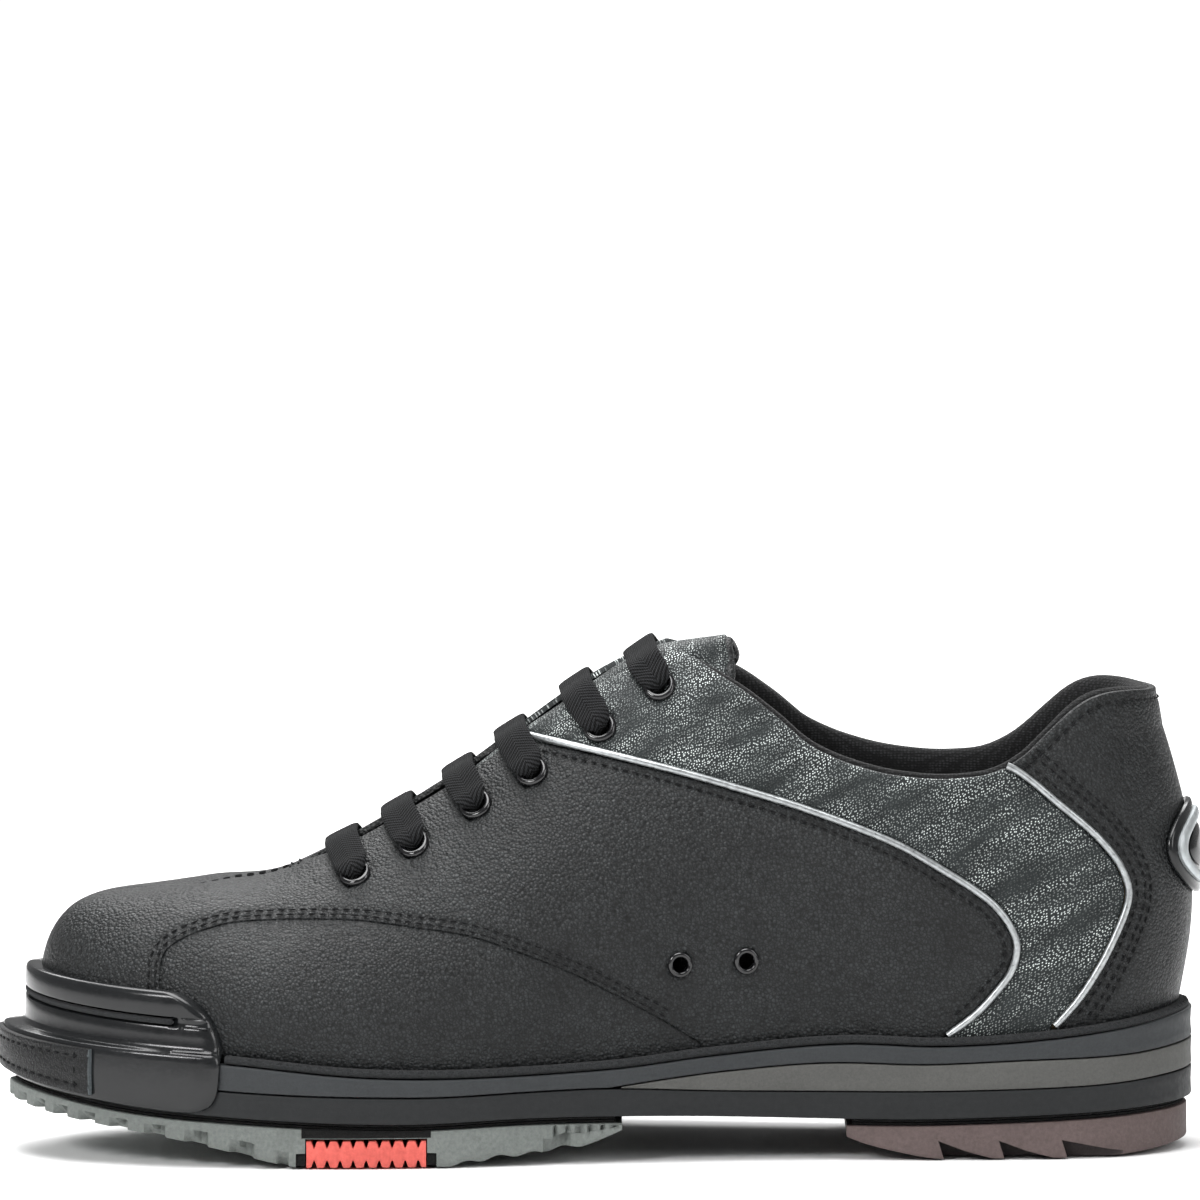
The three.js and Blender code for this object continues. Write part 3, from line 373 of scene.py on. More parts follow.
def top_line(side):
    x = np.linspace(10.5, 138.4, 190)
    t, v, miss = on_side(np.column_stack([x, value_at(TOPLINE, x)]), side)
    t_end = np.full(200, 10.0)
    v_end = np.linspace(0.02, 0.48, 200) if side < 0 else np.linspace(0.98, 0.52, 200)
    at = np.argmin(np.abs(form(t_end, v_end)[:, 2] - value_at(TOPLINE, 138.8)))
    return np.vstack([to_girth(t[miss < MISS], v[miss < MISS]), to_girth(t_end[at:at + 1], v_end[at:at + 1])])


LINES = {side: {"seam": wall_line(SIDE_SEAM, side), "front": wall_line(PIPING_FRONT, side),
                "heel": wall_line(PIPING_HEEL, side), "top": top_line(side), "throat": throat_line(side),
                "foot": foot_line(side)} for side in (-1, 1)}


# ---------------------------------------------------------------- finishes


def add_node(tree, kind, inputs=(), **settings):
    """A node with its settings, then its sockets: linked where a socket is given, set where a value is."""
    node = tree.nodes.new(kind)
    for key, value in settings.items():
        setattr(node, key, value)
    for key, value in dict(inputs).items():
        if isinstance(value, bpy.types.NodeSocket):
            tree.links.new(value, node.inputs[key])
        else:
            node.inputs[key].default_value = value
    return node


class Finish:
    """A procedural surface whose patterns are laid out in millimetres, on object coordinates or on the piece's UVs."""

    def __init__(self, name, colour, roughness, metallic=0.0, sheen=0.0, specular=0.5, on_uv=False):
        self.material = bpy.data.materials.new(name)
        self.material.use_nodes = True
        self.tree = self.material.node_tree
        self.shader = self.tree.nodes["Principled BSDF"]
        for socket, value in (("Base Color", (*colour, 1)), ("Roughness", roughness), ("Metallic", metallic),
                              ("Sheen Weight", sheen), ("Sheen Roughness", 0.45), ("Specular IOR Level", specular)):
            self.shader.inputs[socket].default_value = value
        where = self.node("ShaderNodeTexCoord").outputs["UV" if on_uv else "Object"]
        scale = (1.0 if on_uv else 1000.0,) * 3
        self.place = self.node("ShaderNodeMapping", {"Scale": scale, "Vector": where}).outputs["Vector"]
        self.relief = None
        self.flat = on_uv

    def node(self, kind, inputs=(), **settings):
        return add_node(self.tree, kind, inputs, **settings)

    def _patterned(self, kind, inputs, stretch=None, **settings):
        vector = inputs.pop("Vector", None) or self.place
        if stretch:
            vector = self.node("ShaderNodeMapping", {"Scale": stretch, "Vector": vector}).outputs["Vector"]
        return self.node(kind, {"Vector": vector, **inputs}, **settings)

    def noise(self, scale, detail=3.0, rough=0.55, stretch=None):
        inputs = {"Scale": scale, "Detail": detail, "Roughness": rough}
        return self._patterned("ShaderNodeTexNoise", inputs, stretch).outputs["Fac"]

    def cells(self, scale, feature="F1", stretch=None, randomness=1.0):
        inputs = {"Scale": scale, "Randomness": randomness}
        return self._patterned("ShaderNodeTexVoronoi", inputs, stretch, feature=feature,
                               voronoi_dimensions="2D" if self.flat else "3D").outputs["Distance"]

    def waves(self, scale, direction, distortion, vector):
        inputs = {"Scale": scale, "Distortion": distortion, "Vector": vector}
        return self._patterned("ShaderNodeTexWave", inputs, bands_direction=direction).outputs["Fac"]

    def ramp(self, value, *stops):
        node = self.node("ShaderNodeValToRGB", {"Fac": value})
        while len(node.color_ramp.elements) < len(stops):
            node.color_ramp.elements.new(0.5)
        for element, (at, tone) in zip(node.color_ramp.elements, stops):
            element.position = at
            element.color = (*tone, 1) if isinstance(tone, tuple) else (tone, tone, tone, 1)
        return node.outputs["Color"]

    def times(self, one, other, kind="MULTIPLY"):
        return self.node("ShaderNodeMix", {"Factor": 1.0, "A": one, "B": other}, data_type="RGBA",
                         blend_type=kind).outputs["Result"]

    def feed(self, socket, value):
        self.tree.links.new(value, self.shader.inputs[socket])
        return self

    def raise_by(self, height, millimetres, strength=1.0):
        inputs = {"Strength": strength, "Distance": millimetres * MM, "Height": height}
        if self.relief is not None:
            inputs["Normal"] = self.relief
        self.relief = self.node("ShaderNodeBump", inputs).outputs["Normal"]
        return self.feed("Normal", self.relief)


def pebbled(name, dark, light, roughness, size, depth):
    """Grained leather: rounded pebbles with creases between them painted darker as shade, slow tone changes and worn
    high spots.
    """
    f = Finish(name, light, roughness, specular=0.25)
    tone = f.ramp(f.noise(0.05, 4), (0.3, dark), (0.72, light))
    crease_and_shade = f.ramp(f.cells(size, "DISTANCE_TO_EDGE"), (0.0, 0.1), (0.24, 1.0))
    mottle = f.ramp(f.noise(0.95, 4, 0.7), (0.34, 0.22), (0.64, 1.0))
    # painted shade: the base colour is darkened in the creases between pebbles, by the same pattern that sinks them in
    # the relief
    f.feed("Base Color", f.times(f.times(tone, crease_and_shade), mottle))
    f.feed("Roughness", f.ramp(f.noise(0.9, 5, 0.7), (0.3, roughness - 0.12), (0.7, roughness + 0.14)))
    f.raise_by(f.noise(0.14, 2), 0.5, 0.4)
    f.raise_by(f.noise(1.5, 4, 0.62), depth * 2.2)
    f.raise_by(f.cells(size, "SMOOTH_F1"), -depth * 3.4)
    return f.raise_by(crease_and_shade, depth * 0.8)


def printed_leather():
    """Metallic ray-skin print: tiny bright beads over a dark ground, in cloudy light and dark streaks."""
    f = Finish("ray_skin_print", (0.1, 0.11, 0.11), 0.42, metallic=0.2, specular=0.28, on_uv=True)
    bead = f.cells(1.42, randomness=0.7)
    clouds = f.noise(0.11, 5, 0.6, stretch=(1.0, 1.5, 1.0))
    ground = f.ramp(clouds, (0.3, (0.006, 0.008, 0.0085)), (0.7, (0.017, 0.021, 0.0215)))
    streaks = f.noise(0.085, 5, 0.66, stretch=(0.75, 2.1, 1.0))
    streak = f.ramp(streaks, (0.38, 0.03), (0.5, 0.32), (0.62, 1.0))
    spark = f.ramp(bead, (0.12, (0.74, 0.79, 0.77)), (0.24, (0.08, 0.09, 0.09)), (0.36, (0.0, 0.0, 0.0)))
    f.feed("Base Color", f.times(ground, f.times(spark, streak), "ADD"))
    f.raise_by(f.noise(0.13, 3), 0.7, 0.4)
    f.feed("Roughness", f.ramp(bead, (0.15, 0.3), (0.45, 0.62)))
    return f.raise_by(bead, -0.13)


def knit(name, dark, light):
    """Black knitted lining: small open loops in rows, painted darker towards the gaps between them as shade."""
    f = Finish(name, light, 0.92, sheen=0.1, specular=0.2)
    loops = f.cells(1.15, "F1", stretch=(1.0, 1.0, 1.35), randomness=0.35)
    tone = f.ramp(f.noise(0.12), (0.3, 0.75), (0.7, 1.0))
    # painted shade: the colour is lightest on the loops and darkens towards the sunken gaps between them
    f.feed("Base Color", f.times(f.ramp(loops, (0.18, light), (0.5, dark)), tone))
    f.raise_by(f.noise(0.25, 2), 0.5, 0.4)
    return f.raise_by(loops, -0.22)


def rubbery(name, dark, light, roughness, grain=1.6, depth=0.05):
    """Moulded rubber or foam: faint mottling, fine pores and small scuffs."""
    f = Finish(name, light, roughness, specular=0.3)
    speck = f.ramp(f.noise(grain, 6, 0.7), (0.32, dark), (0.66, light))
    f.feed("Base Color", f.times(speck, f.ramp(f.noise(0.07, 3), (0.3, 0.86), (0.7, 1.0))))
    f.feed("Roughness", f.ramp(f.noise(0.8, 5), (0.3, roughness - 0.1), (0.7, roughness + 0.07)))
    f.raise_by(f.noise(grain * 1.3, 4), depth)
    return f.raise_by(f.noise(0.3, 2), depth * 3, 0.25)


def woven_lace():
    """Flat ribbed braid: rows of yarn that meet in chevrons along its middle, painted darker in the grooves between
    them as shade.
    """
    f = Finish("lace_braid", (0.012, 0.0125, 0.013), 0.9, specular=0.16, on_uv=True)
    apart = f.node("ShaderNodeSeparateXYZ", {"Vector": f.place}).outputs
    folded = f.node("ShaderNodeMath", {0: apart["X"]}, operation="ABSOLUTE").outputs["Value"]
    slanted = f.node("ShaderNodeMath", {0: folded, 1: 0.75, 2: apart["Y"]}, operation="MULTIPLY_ADD").outputs["Value"]
    chevrons = f.node("ShaderNodeCombineXYZ", {"X": folded, "Y": slanted}).outputs["Vector"]
    yarn = f.waves(0.3, "Y", 0.5, chevrons)
    strand = f.waves(0.62, "X", 0.4, chevrons)
    # painted shade: both yarn patterns darken the colour where they sink the relief, between the ribs
    f.feed("Base Color", f.times(f.ramp(yarn, (0.1, (0.002, 0.0022, 0.0024)), (0.7, (0.021, 0.022, 0.0235))),
                                 f.ramp(strand, (0.1, 0.5), (0.6, 1.0))))
    f.raise_by(yarn, 0.34)
    return f.raise_by(strand, 0.14)


def fuzzy(name, dark, light):
    """Short matt fibres."""
    f = Finish(name, light, 1.0, sheen=0.05, specular=0.15)
    f.feed("Base Color", f.ramp(f.noise(2.2, 6, 0.8), (0.3, dark), (0.7, light)))
    return f.raise_by(f.noise(1.4, 6, 0.85), 0.5)


def metal(name, dark, light, roughness, grain):
    """Metallised plastic with a fine uneven grain."""
    f = Finish(name, light, roughness, metallic=0.85)
    f.feed("Base Color", f.ramp(f.noise(grain, 4), (0.3, dark), (0.7, light)))
    f.feed("Roughness", f.ramp(f.noise(grain * 2, 4), (0.3, roughness - 0.08), (0.7, roughness + 0.12)))
    return f.raise_by(f.noise(grain * 2.5, 3), 0.03)


def hard_gloss(name, dark, light, roughness, specular=0.38):
    """Polished hard plastic with a faint orange-peel and small scuffs."""
    f = Finish(name, light, roughness, specular=specular)
    f.feed("Base Color", f.ramp(f.noise(0.1, 3), (0.3, dark), (0.7, light)))
    f.feed("Roughness", f.ramp(f.noise(1.1, 6), (0.35, roughness), (0.75, roughness + 0.12)))
    return f.raise_by(f.noise(0.35, 2), 0.1, 0.3)


LEATHER = pebbled("black_leather", (0.0165, 0.0185, 0.0196), (0.0315, 0.0352, 0.0368), 0.41, 1.15, 0.10)
STRIP_LEATHER = pebbled("strip_leather", (0.010, 0.0108, 0.0115), (0.019, 0.0202, 0.0215), 0.45, 1.8, 0.04)
PRINT = printed_leather()
PIPING = metal("silver_piping", (0.24, 0.25, 0.255), (0.42, 0.44, 0.445), 0.34, 0.7)
SILVER = metal("badge_silver", (0.34, 0.36, 0.37), (0.47, 0.50, 0.51), 0.5, 0.5)
LINING = knit("knit_lining", (0.0025, 0.0026, 0.0028), (0.018, 0.0185, 0.0195))
LACE = woven_lace()
EYELET = hard_gloss("eyelet_enamel", (0.003, 0.003, 0.0034), (0.006, 0.006, 0.007), 0.08, specular=0.55)
GUARD = hard_gloss("toe_guard_gloss", (0.0045, 0.005, 0.0055), (0.009, 0.0098, 0.0105), 0.16)
MID_TOP = rubbery("midsole_slate", (0.020, 0.0222, 0.024), (0.031, 0.0342, 0.0368), 0.6)
MID_WEDGE = rubbery("midsole_warm_grey", (0.060, 0.060, 0.0565), (0.084, 0.084, 0.079), 0.66)
MID_BASE = rubbery("midsole_dark", (0.0065, 0.0074, 0.008), (0.0115, 0.0128, 0.0138), 0.6)
FUZZ = fuzzy("hook_fabric", (0.002, 0.002, 0.002), (0.016, 0.016, 0.016))
WELT = fuzzy("welt_yarn", (0.005, 0.0053, 0.0056), (0.042, 0.044, 0.046))
SOLE = rubbery("sole_grey_green", (0.118, 0.130, 0.122), (0.175, 0.190, 0.180), 0.7, 1.0, 0.12)
RED = rubbery("flex_coral", (0.56, 0.092, 0.074), (0.70, 0.13, 0.105), 0.6, 0.9, 0.06)
HEEL = rubbery("heel_brown", (0.084, 0.061, 0.058), (0.120, 0.089, 0.085), 0.66, 1.0, 0.1)
# The notch walls in the heel get this darker rubber: painted shade inside the notches.
HEEL_RECESS_SHADE = rubbery("heel_recess_painted_shade", (0.030, 0.023, 0.023), (0.048, 0.038, 0.038), 0.66, 1.2, 0.06)
THREAD = fuzzy("waxed_thread", (0.002, 0.002, 0.0022), (0.009, 0.0095, 0.0105))
BOARD = rubbery("fibre_board", (0.24, 0.17, 0.09), (0.36, 0.27, 0.16), 0.85, 0.8, 0.12)
CUT_EDGE = rubbery("cut_leather_edge", (0.045, 0.055, 0.06), (0.11, 0.125, 0.13), 0.6, 2.0, 0.1)


# ---------------------------------------------------------------- mesh making


def make(name, points, faces, finish, sharp=38, uv=None, body="shoe", replaces=(), slot=None):
    """One closed piece from points in millimetres, facing out, riding its body."""
    mesh = bpy.data.meshes.new(name)
    mesh.from_pydata((np.asarray(points, float) * MM).tolist(), [], [tuple(map(int, f)) for f in faces])
    mesh.validate()
    if uv is not None:
        layer = mesh.uv_layers.new(name="UVMap")
        which = np.empty(len(mesh.loops), int)
        mesh.loops.foreach_get("vertex_index", which)
        layer.data.foreach_set("uv", np.asarray(uv, float)[which].ravel())
    shape = bmesh.new()
    shape.from_mesh(mesh)
    if shape.calc_volume(signed=True) < 0:
        bmesh.ops.reverse_faces(shape, faces=shape.faces)
        shape.to_mesh(mesh)
    shape.free()
    return finished(name, mesh, finish, sharp, body, replaces, slot)


def finished(name, mesh, finish, sharp=38, body="shoe", replaces=(), slot=None):
    mesh.materials.clear()
    mesh.materials.append(finish.material)
    mesh.shade_smooth()
    mesh.set_sharp_from_angle(angle=math.radians(sharp))
    piece = bpy.data.objects.new(name, mesh)
    bpy.context.collection.objects.link(piece)
    if body:
        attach(piece, body)
    if replaces:
        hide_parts(*replaces)
    return piece


def grid_faces(n, m, wrap_n=True, wrap_m=True):
    """Quads over an n by m grid of points, joined round where it wraps."""
    i, j = np.meshgrid(np.arange(n if wrap_n else n - 1), np.arange(m if wrap_m else m - 1), indexing="ij")
    i2, j2 = (i + 1) % n, (j + 1) % m
    return np.stack([i * m + j, i2 * m + j, i2 * m + j2, i * m + j2], axis=-1).reshape(-1, 4)


def loft(rings):
    """Quads between closed rings in an (n, m, 3) array, with both ends closed by strips; points and faces."""
    n, m = rings.shape[:2]
    faces = grid_faces(n, m, wrap_n=False)[:, [0, 3, 2, 1]].tolist()
    for start, turned in ((0, True), ((n - 1) * m, False)):
        j, k = 0, m - 1
        while k - j > 1:
            face = [start + j, start + j + 1, start + k - 1, start + k]
            if k - j == 2:
                del face[2]
            faces.append(face[::-1] if turned else face)
            j, k = j + 1, k - 1
    return rings.reshape(-1, 3), faces


def slab(columns):
    """A closed layer from wall columns (n, k, 3) that run round its edge; the faces above and below span across."""
    n, k = columns.shape[:2]
    faces = grid_faces(n, k, wrap_m=False).tolist()
    for row, turned in ((0, False), (k - 1, True)):
        for i in range(n // 2):
            j = n - 1 - i
            if j - i < 2:
                continue
            face = [i * k + row, (i + 1) * k + row, (j - 1) * k + row, j * k + row]
            if j - i == 2:
                del face[2]
            faces.append(face[::-1] if turned else face)
    return columns.reshape(-1, 3), faces


def outline_at(x, side):
    """Outline step where the feather line passes x, on one side."""
    t = np.linspace(0, STEPS, 2001)
    u = t if side < 0 else 2 * STEPS - t
    return float(np.interp(x, outline(u)[:, 0], u))


def t_at(u):
    """Steps from the toe, on either side, at outline step u."""
    return np.minimum(u, 2 * STEPS - u)


def stood(u, wall):
    """[out, z] wall points stood at outline step u."""
    wall = np.asarray(wall, float)
    return np.column_stack([outline(np.full(len(wall), u), wall[:, 0]), wall[:, 1]])


def pair_loop(n, x0=None, x1=None):
    """Outline steps round a layer from x0 (or the toe) to x1 (or the heel), medial back to front, then lateral."""
    ways = []
    for side, toe in ((-1, 0.0), (1, 2.0 * STEPS)):
        first = toe if x0 is None else outline_at(x0, side)
        last = float(STEPS) if x1 is None else outline_at(x1, side)
        way = first + (last - first) * np.linspace(0, 1, n)
        ways.append(way[int(x0 is None):n - int(x1 is None)])
    return np.concatenate([ways[0][::-1], ways[1]])


def along_of(points):
    """Unit directions along a line."""
    way = np.gradient(points, axis=0)
    return way / np.linalg.norm(way, axis=1, keepdims=True)


def left_of(way):
    """Unit directions to the left of the flat directions in way."""
    n = np.column_stack([-way[:, 1], way[:, 0]])
    return n / np.maximum(np.linalg.norm(n, axis=1, keepdims=True), 1e-9)


def offset_line(line, d):
    """A pattern line moved sideways by d millimetres on the form, to the left of the way it runs."""
    n = left_of(np.gradient(line, axis=0))
    step = np.linalg.norm(place(line + n)[0] - place(line)[0], axis=1)
    return line + n * (d / np.clip(step, 0.4, 3))[:, None]


STITCH_ROWS = []


def sew(rows):
    """Remember stitch rows that follow pattern lines."""
    STITCH_ROWS.extend(place(even(row, 0.8), 0.02) for row in rows)


def circle(centre, radius, n=22):
    turn = np.linspace(0, 2 * math.pi, n, endpoint=False)
    return np.asarray(centre) + radius * np.column_stack([np.cos(turn), np.sin(turn)])


EDGE_ROLL = 0.75        # radius of a panel's rolled edge


def panel_mesh(border, ring, rows, holes, spacing):
    """Flat points and triangles that fill a border, finer along its edge and its stitch rows, with holes left open."""
    inward = left_of(np.roll(border, -1, 0) - np.roll(border, 1, 0))
    points = []
    for d in (0.25, 0.75):
        moved = border + inward * d
        points.append(moved[(gap_to(moved, ring) > 0.85 * d) & inside(moved, border)])
    for row in rows:
        n = left_of(np.gradient(row, axis=0))
        for d in (-0.65, 0, 0.65):
            moved = row + n * d
            points.append(moved[(gap_to(moved, ring) > 1.05) & inside(moved, border)])
    lo, hi = border.min(0), border.max(0)
    gx, gy = np.meshgrid(np.arange(lo[0], hi[0], spacing), np.arange(lo[1], hi[1], spacing * 0.866))
    gx[1::2] += spacing / 2
    fill = np.column_stack([gx.ravel(), gy.ravel()])
    fill = fill[inside(fill, border)]
    fill = fill[gap_to(fill, ring) > 1.35]
    for row in rows:
        fill = fill[gap_to(fill, row) > 1.25]
    points.append(fill)
    for c, r in holes:
        points = [p[np.linalg.norm(p - c, axis=1) > r + 0.5] for p in points]
    rims = [border, *(circle(c, r) for c, r in holes)]
    edges, start = [], 0
    for rim in rims:
        edges += [(start + i, start + (i + 1) % len(rim)) for i in range(len(rim))]
        start += len(rim)
    out = delaunay_2d_cdt([Vector(p) for p in np.vstack(rims + points)], edges, [], 0, 1e-5)
    flat, faces = np.array([tuple(p) for p in out[0]]), np.array(out[2])
    middle_of = flat[faces].mean(axis=1)
    keep = inside(middle_of, border)
    for rim in rims[1:]:
        keep &= ~inside(middle_of, rim)
    return flat, faces[keep], rims


def panel(name, loop, finish, rows=(), holes=(), low=-1.8, high=0.0, spacing=1.15, **facts):
    """A cut and sewn panel: rolled edges, seams that pull in, dimpled stitch rows and a slight fullness between."""
    border = even(loop, 0.9, closed=True)
    x, y = border[:, 0], border[:, 1]
    if np.sum(x * np.roll(y, -1) - np.roll(x, -1) * y) < 0:
        border = border[::-1]
    rows = [even(row, 0.8) for row in rows]
    flat, faces, rims = panel_mesh(border, np.vstack([border, border[:1]]), rows, holes, spacing)
    gap = np.min([gap_to(flat, np.vstack([rim, rim[:1]])) for rim in rims], axis=0)
    height = high - (EDGE_ROLL - np.sqrt(np.maximum(EDGE_ROLL ** 2 - (EDGE_ROLL - np.minimum(gap, EDGE_ROLL)) ** 2, 0)))
    height -= 0.22 * np.exp(-gap / 2.2)
    for row in rows:
        height -= 0.3 * np.exp(-(gap_to(flat, row) / 0.75) ** 2)
    fullness = np.sin(flat[:, 0] / 6.1 + 1.3 * np.sin(flat[:, 1] / 9.3)) * np.sin(flat[:, 1] / 7.7)
    height += 0.13 * fullness * np.minimum(gap / 6, 1)
    used = np.unique(faces)
    renumber = np.full(len(flat), -1)
    renumber[used] = np.arange(len(used))
    faces, flat, height = renumber[faces], flat[used], height[used]
    n = len(flat)
    pairs = np.vstack([faces[:, [0, 1]], faces[:, [1, 2]], faces[:, [2, 0]]])
    known = {(int(a), int(b)) for a, b in pairs}
    walls = [(b, a, a + n, b + n) for a, b in known if (b, a) not in known]
    return make(name, np.vstack([place(flat, height)[0], place(flat, low)[0]]),
                faces.tolist() + (faces[:, ::-1] + n).tolist() + walls, finish, uv=np.vstack([flat, flat]), **facts)


def tube(name, centre, radius, finish, sides=12, **facts):
    """A round cord through points in millimetres."""
    way = along_of(centre)
    across = np.cross(way, (0.3, 1.0, 0.2))
    across /= np.linalg.norm(across, axis=1, keepdims=True)
    up = np.cross(way, across)
    turn = np.linspace(0, 2 * math.pi, sides, endpoint=False)[:, None]
    rings = centre[:, None] + radius * (across[:, None] * np.cos(turn) + up[:, None] * np.sin(turn))
    return make(name, *loft(rings), finish, sharp=80, **facts)


# ---------------------------------------------------------------- upper panels


def joined(*lines):
    return np.vstack(lines)


SPOTS = {}
for side in (-1, 1):
    t, v, _ = on_side(EYELET_ROWS, side)
    SPOTS[side] = dict(t=t, v=v, ag=to_girth(t, v), point=form(t, v), normal=form_normal(t, v))
t, v, _ = on_side(VENT_SPOTS, -1)
VENTS = dict(ag=to_girth(t, v), point=form(t, v), normal=form_normal(t, v))

WORDS = {-1: "medial", 1: "lateral"}
HALF_GAP = 0.14         # from a seam line to the edge of the panel beside it
PIPE_GAP = 0.75         # the same where a piping lies between
EYELET_HOLE, VENT_HOLE = 2.9, 2.2

for side, word in WORDS.items():
    seam, front, heel, top, throat, foot = (LINES[side][k] for k in ("seam", "front", "heel", "top", "throat", "foot"))
    front_v, front_c = offset_line(front, PIPE_GAP * side), offset_line(front, -PIPE_GAP * side)
    heel_c, seam_v = offset_line(heel, PIPE_GAP * side), offset_line(seam, -HALF_GAP * side)

    def foot_g(a0, a1, n):
        a = np.linspace(a0, a1, n)
        return np.column_stack([a, np.interp(a, foot[:, 0], foot[:, 1])])

    # Vamp and quarter: centre seam, throat edge, piping seam, feather line, side seam.
    start = throat[0, 0]
    pipe_v = after(front_v, throat)
    centre = np.array([[0.15, 0.15 * side], [start - 2.6, 0.15 * side]])
    nose = np.array([[start - 1.4, 1.6 * side], [start - 0.2, 3.4 * side]])
    back, toe = foot_g(pipe_v[-1, 0], seam_v[-1, 0], 40), foot_g(seam_v[0, 0], 0.15, 20)
    vamp_loop = joined(centre, nose, before(throat, front_v)[1:-1], pipe_v, back, seam_v[::-1], toe)
    holes = [(spot, EYELET_HOLE) for spot in SPOTS[side]["ag"][:4]]
    if side < 0:
        holes += [(spot, VENT_HOLE) for spot in VENTS["ag"]]
    rows = [offset_line(seam[3:-4], -1.3 * side), offset_line(seam[3:-4], -3.1 * side),
            offset_line(pipe_v[4:-3], 2.4 * side), np.array([[22.0, 1.7 * side], [start - 8.5, 1.7 * side]])]
    rows += [np.array([[start - d, 0.9 * side], [start - d, 4.6 * side]]) for d in (3.6, 6.2)]
    panel(f"vamp_{word}_leather", vamp_loop, LEATHER, rows, holes, replaces=[f"vamp_{word}"], slot="leather")
    sew(rows)

    # Side wing, tucked under the vamp's edge.
    wing = joined(offset_line(seam, -0.5 * side), foot_g(seam[-1, 0], seam[0, 0], 60))
    panel(f"side_wing_{word}", wing, LEATHER, low=-2.0, high=-0.5, replaces=[f"side_panel_{word}"], slot="leather")

    # Printed collar panel between the two pipings.
    throat_c = before(after(throat, front_c), top)
    top_c = before(after(top, throat), heel_c)
    under = foot_g(heel_c[-1, 0], front_c[-1, 0], 30)
    collar_loop = joined(throat_c, top_c[1:], after(heel_c, top)[1:], under, after(front_c, throat)[::-1][:-1])
    panel(f"collar_{word}_print", collar_loop, PRINT, [], [(spot, EYELET_HOLE) for spot in SPOTS[side]["ag"][4:]],
          replaces=[f"collar_panel_{word}"], slot="printed_leather")

    for place_name, pipe, ends in (("front", front, throat), ("heel", heel, top)):
        cord = place(even(after(pipe, ends), 0.8), 0.15)[0]
        cord = cord[cord[:, 2] > value_at(FEATHER_HEIGHT, cord[:, 0]) + 1.2]
        tube(f"piping_{place_name}_{word}_cord", cord, 0.92, PIPING, replaces=[f"piping_{place_name}_{word}"],
             slot="piping")


def round_heel(line):
    """Lateral girth coordinates carried on beyond the heel line."""
    return np.column_stack([2 * A_END - line[:, 0], -line[:, 1]])


# Heel wrap, laid out across the heel line in one piece.
heel_m = after(offset_line(LINES[-1]["heel"], PIPE_GAP), LINES[-1]["top"])
heel_l = after(offset_line(LINES[1]["heel"], -PIPE_GAP), LINES[1]["top"])
top_m, top_l = after(LINES[-1]["top"], LINES[-1]["heel"]), after(LINES[1]["top"], LINES[1]["heel"])
foot_m, foot_l = LINES[-1]["foot"], LINES[1]["foot"]
sole_m = foot_m[foot_m[:, 0] > heel_m[-1, 0]]
sole_l = round_heel(foot_l[foot_l[:, 0] > heel_l[-1, 0]])[::-1]
wrap_top = joined(top_m, round_heel(top_l)[::-1][1:])
wrap_loop = joined(heel_m, sole_m, sole_l[1:], round_heel(heel_l)[::-1], wrap_top[::-1][1:-1])
rows = [offset_line(heel_m[4:-3], d) for d in (2.0, 4.6, 6.4)]
rows += [offset_line(round_heel(heel_l)[4:-3], -d) for d in (2.0, 4.6, 6.4)]
rows.append(offset_line(wrap_top[6:-6], -2.8))
panel("heel_wrap_leather", wrap_loop, LEATHER, rows, replaces=["heel_wrap"], slot="leather")
sew(rows)


# ---------------------------------------------------------------- repeated small pieces


def tree(name, inputs):
    """A node tree with a geometry in and out and named inputs."""
    group = bpy.data.node_groups.new(name, "GeometryNodeTree")
    group.interface.new_socket("Geometry", in_out="INPUT", socket_type="NodeSocketGeometry")
    for label, kind, value in inputs:
        socket = group.interface.new_socket(label, in_out="INPUT", socket_type=kind)
        if value is not None:
            socket.default_value = value
    group.interface.new_socket("Geometry", in_out="OUTPUT", socket_type="NodeSocketGeometry")
    return group, group.nodes.new("NodeGroupInput"), group.nodes.new("NodeGroupOutput")


def turned_instances(group, given, points, shape):
    """Instances on points, standing on the 'up' attribute and facing along 'along', each a little off in size."""
    up, along = (add_node(group, "GeometryNodeInputNamedAttribute", {"Name": label},
                          data_type="FLOAT_VECTOR").outputs["Attribute"] for label in ("up", "along"))
    turn = add_node(group, "FunctionNodeAxesToRotation", {"Primary Axis": up, "Secondary Axis": along},
                    primary_axis="Z", secondary_axis="X")
    vary = add_node(group, "FunctionNodeRandomValue", data_type="FLOAT_VECTOR",
                    inputs={"Min": (0.94,) * 3, "Max": (1.05,) * 3, "Seed": 7})
    size = add_node(group, "ShaderNodeVectorMath", {0: vary.outputs["Value"], 1: given.outputs["Size"]},
                    operation="MULTIPLY")
    return add_node(group, "GeometryNodeInstanceOnPoints", {
        "Points": points, "Instance": shape, "Rotation": turn.outputs["Rotation"],
        "Scale": size.outputs["Vector"]}).outputs["Instances"]


def end_tree(group, given, out, instances):
    real = add_node(group, "GeometryNodeRealizeInstances", {"Geometry": instances})
    paint = add_node(group, "GeometryNodeSetMaterial", {"Geometry": real.outputs["Geometry"],
                                                        "Material": given.outputs["Material"]})
    group.links.new(paint.outputs["Geometry"], out.inputs["Geometry"])
    return group


def stitch_tree():
    """Stitches at an even pitch along every edge line of a mesh: a small bean of thread at each."""
    group, given, out = tree("stitching", [("Pitch", "NodeSocketFloat", 0.0027), ("Size", "NodeSocketVector", None),
                                            ("Material", "NodeSocketMaterial", None)])
    line = add_node(group, "GeometryNodeMeshToCurve", {"Mesh": given.outputs["Geometry"]})
    steps = add_node(group, "GeometryNodeResampleCurve", {"Curve": line.outputs["Curve"],
                                                          "Length": given.outputs["Pitch"]}, mode="LENGTH")
    bean = add_node(group, "GeometryNodeMeshUVSphere", {"Segments": 7, "Rings": 6, "Radius": 0.5})
    return end_tree(group, given, out, turned_instances(group, given, steps.outputs["Curve"], bean.outputs["Mesh"]))


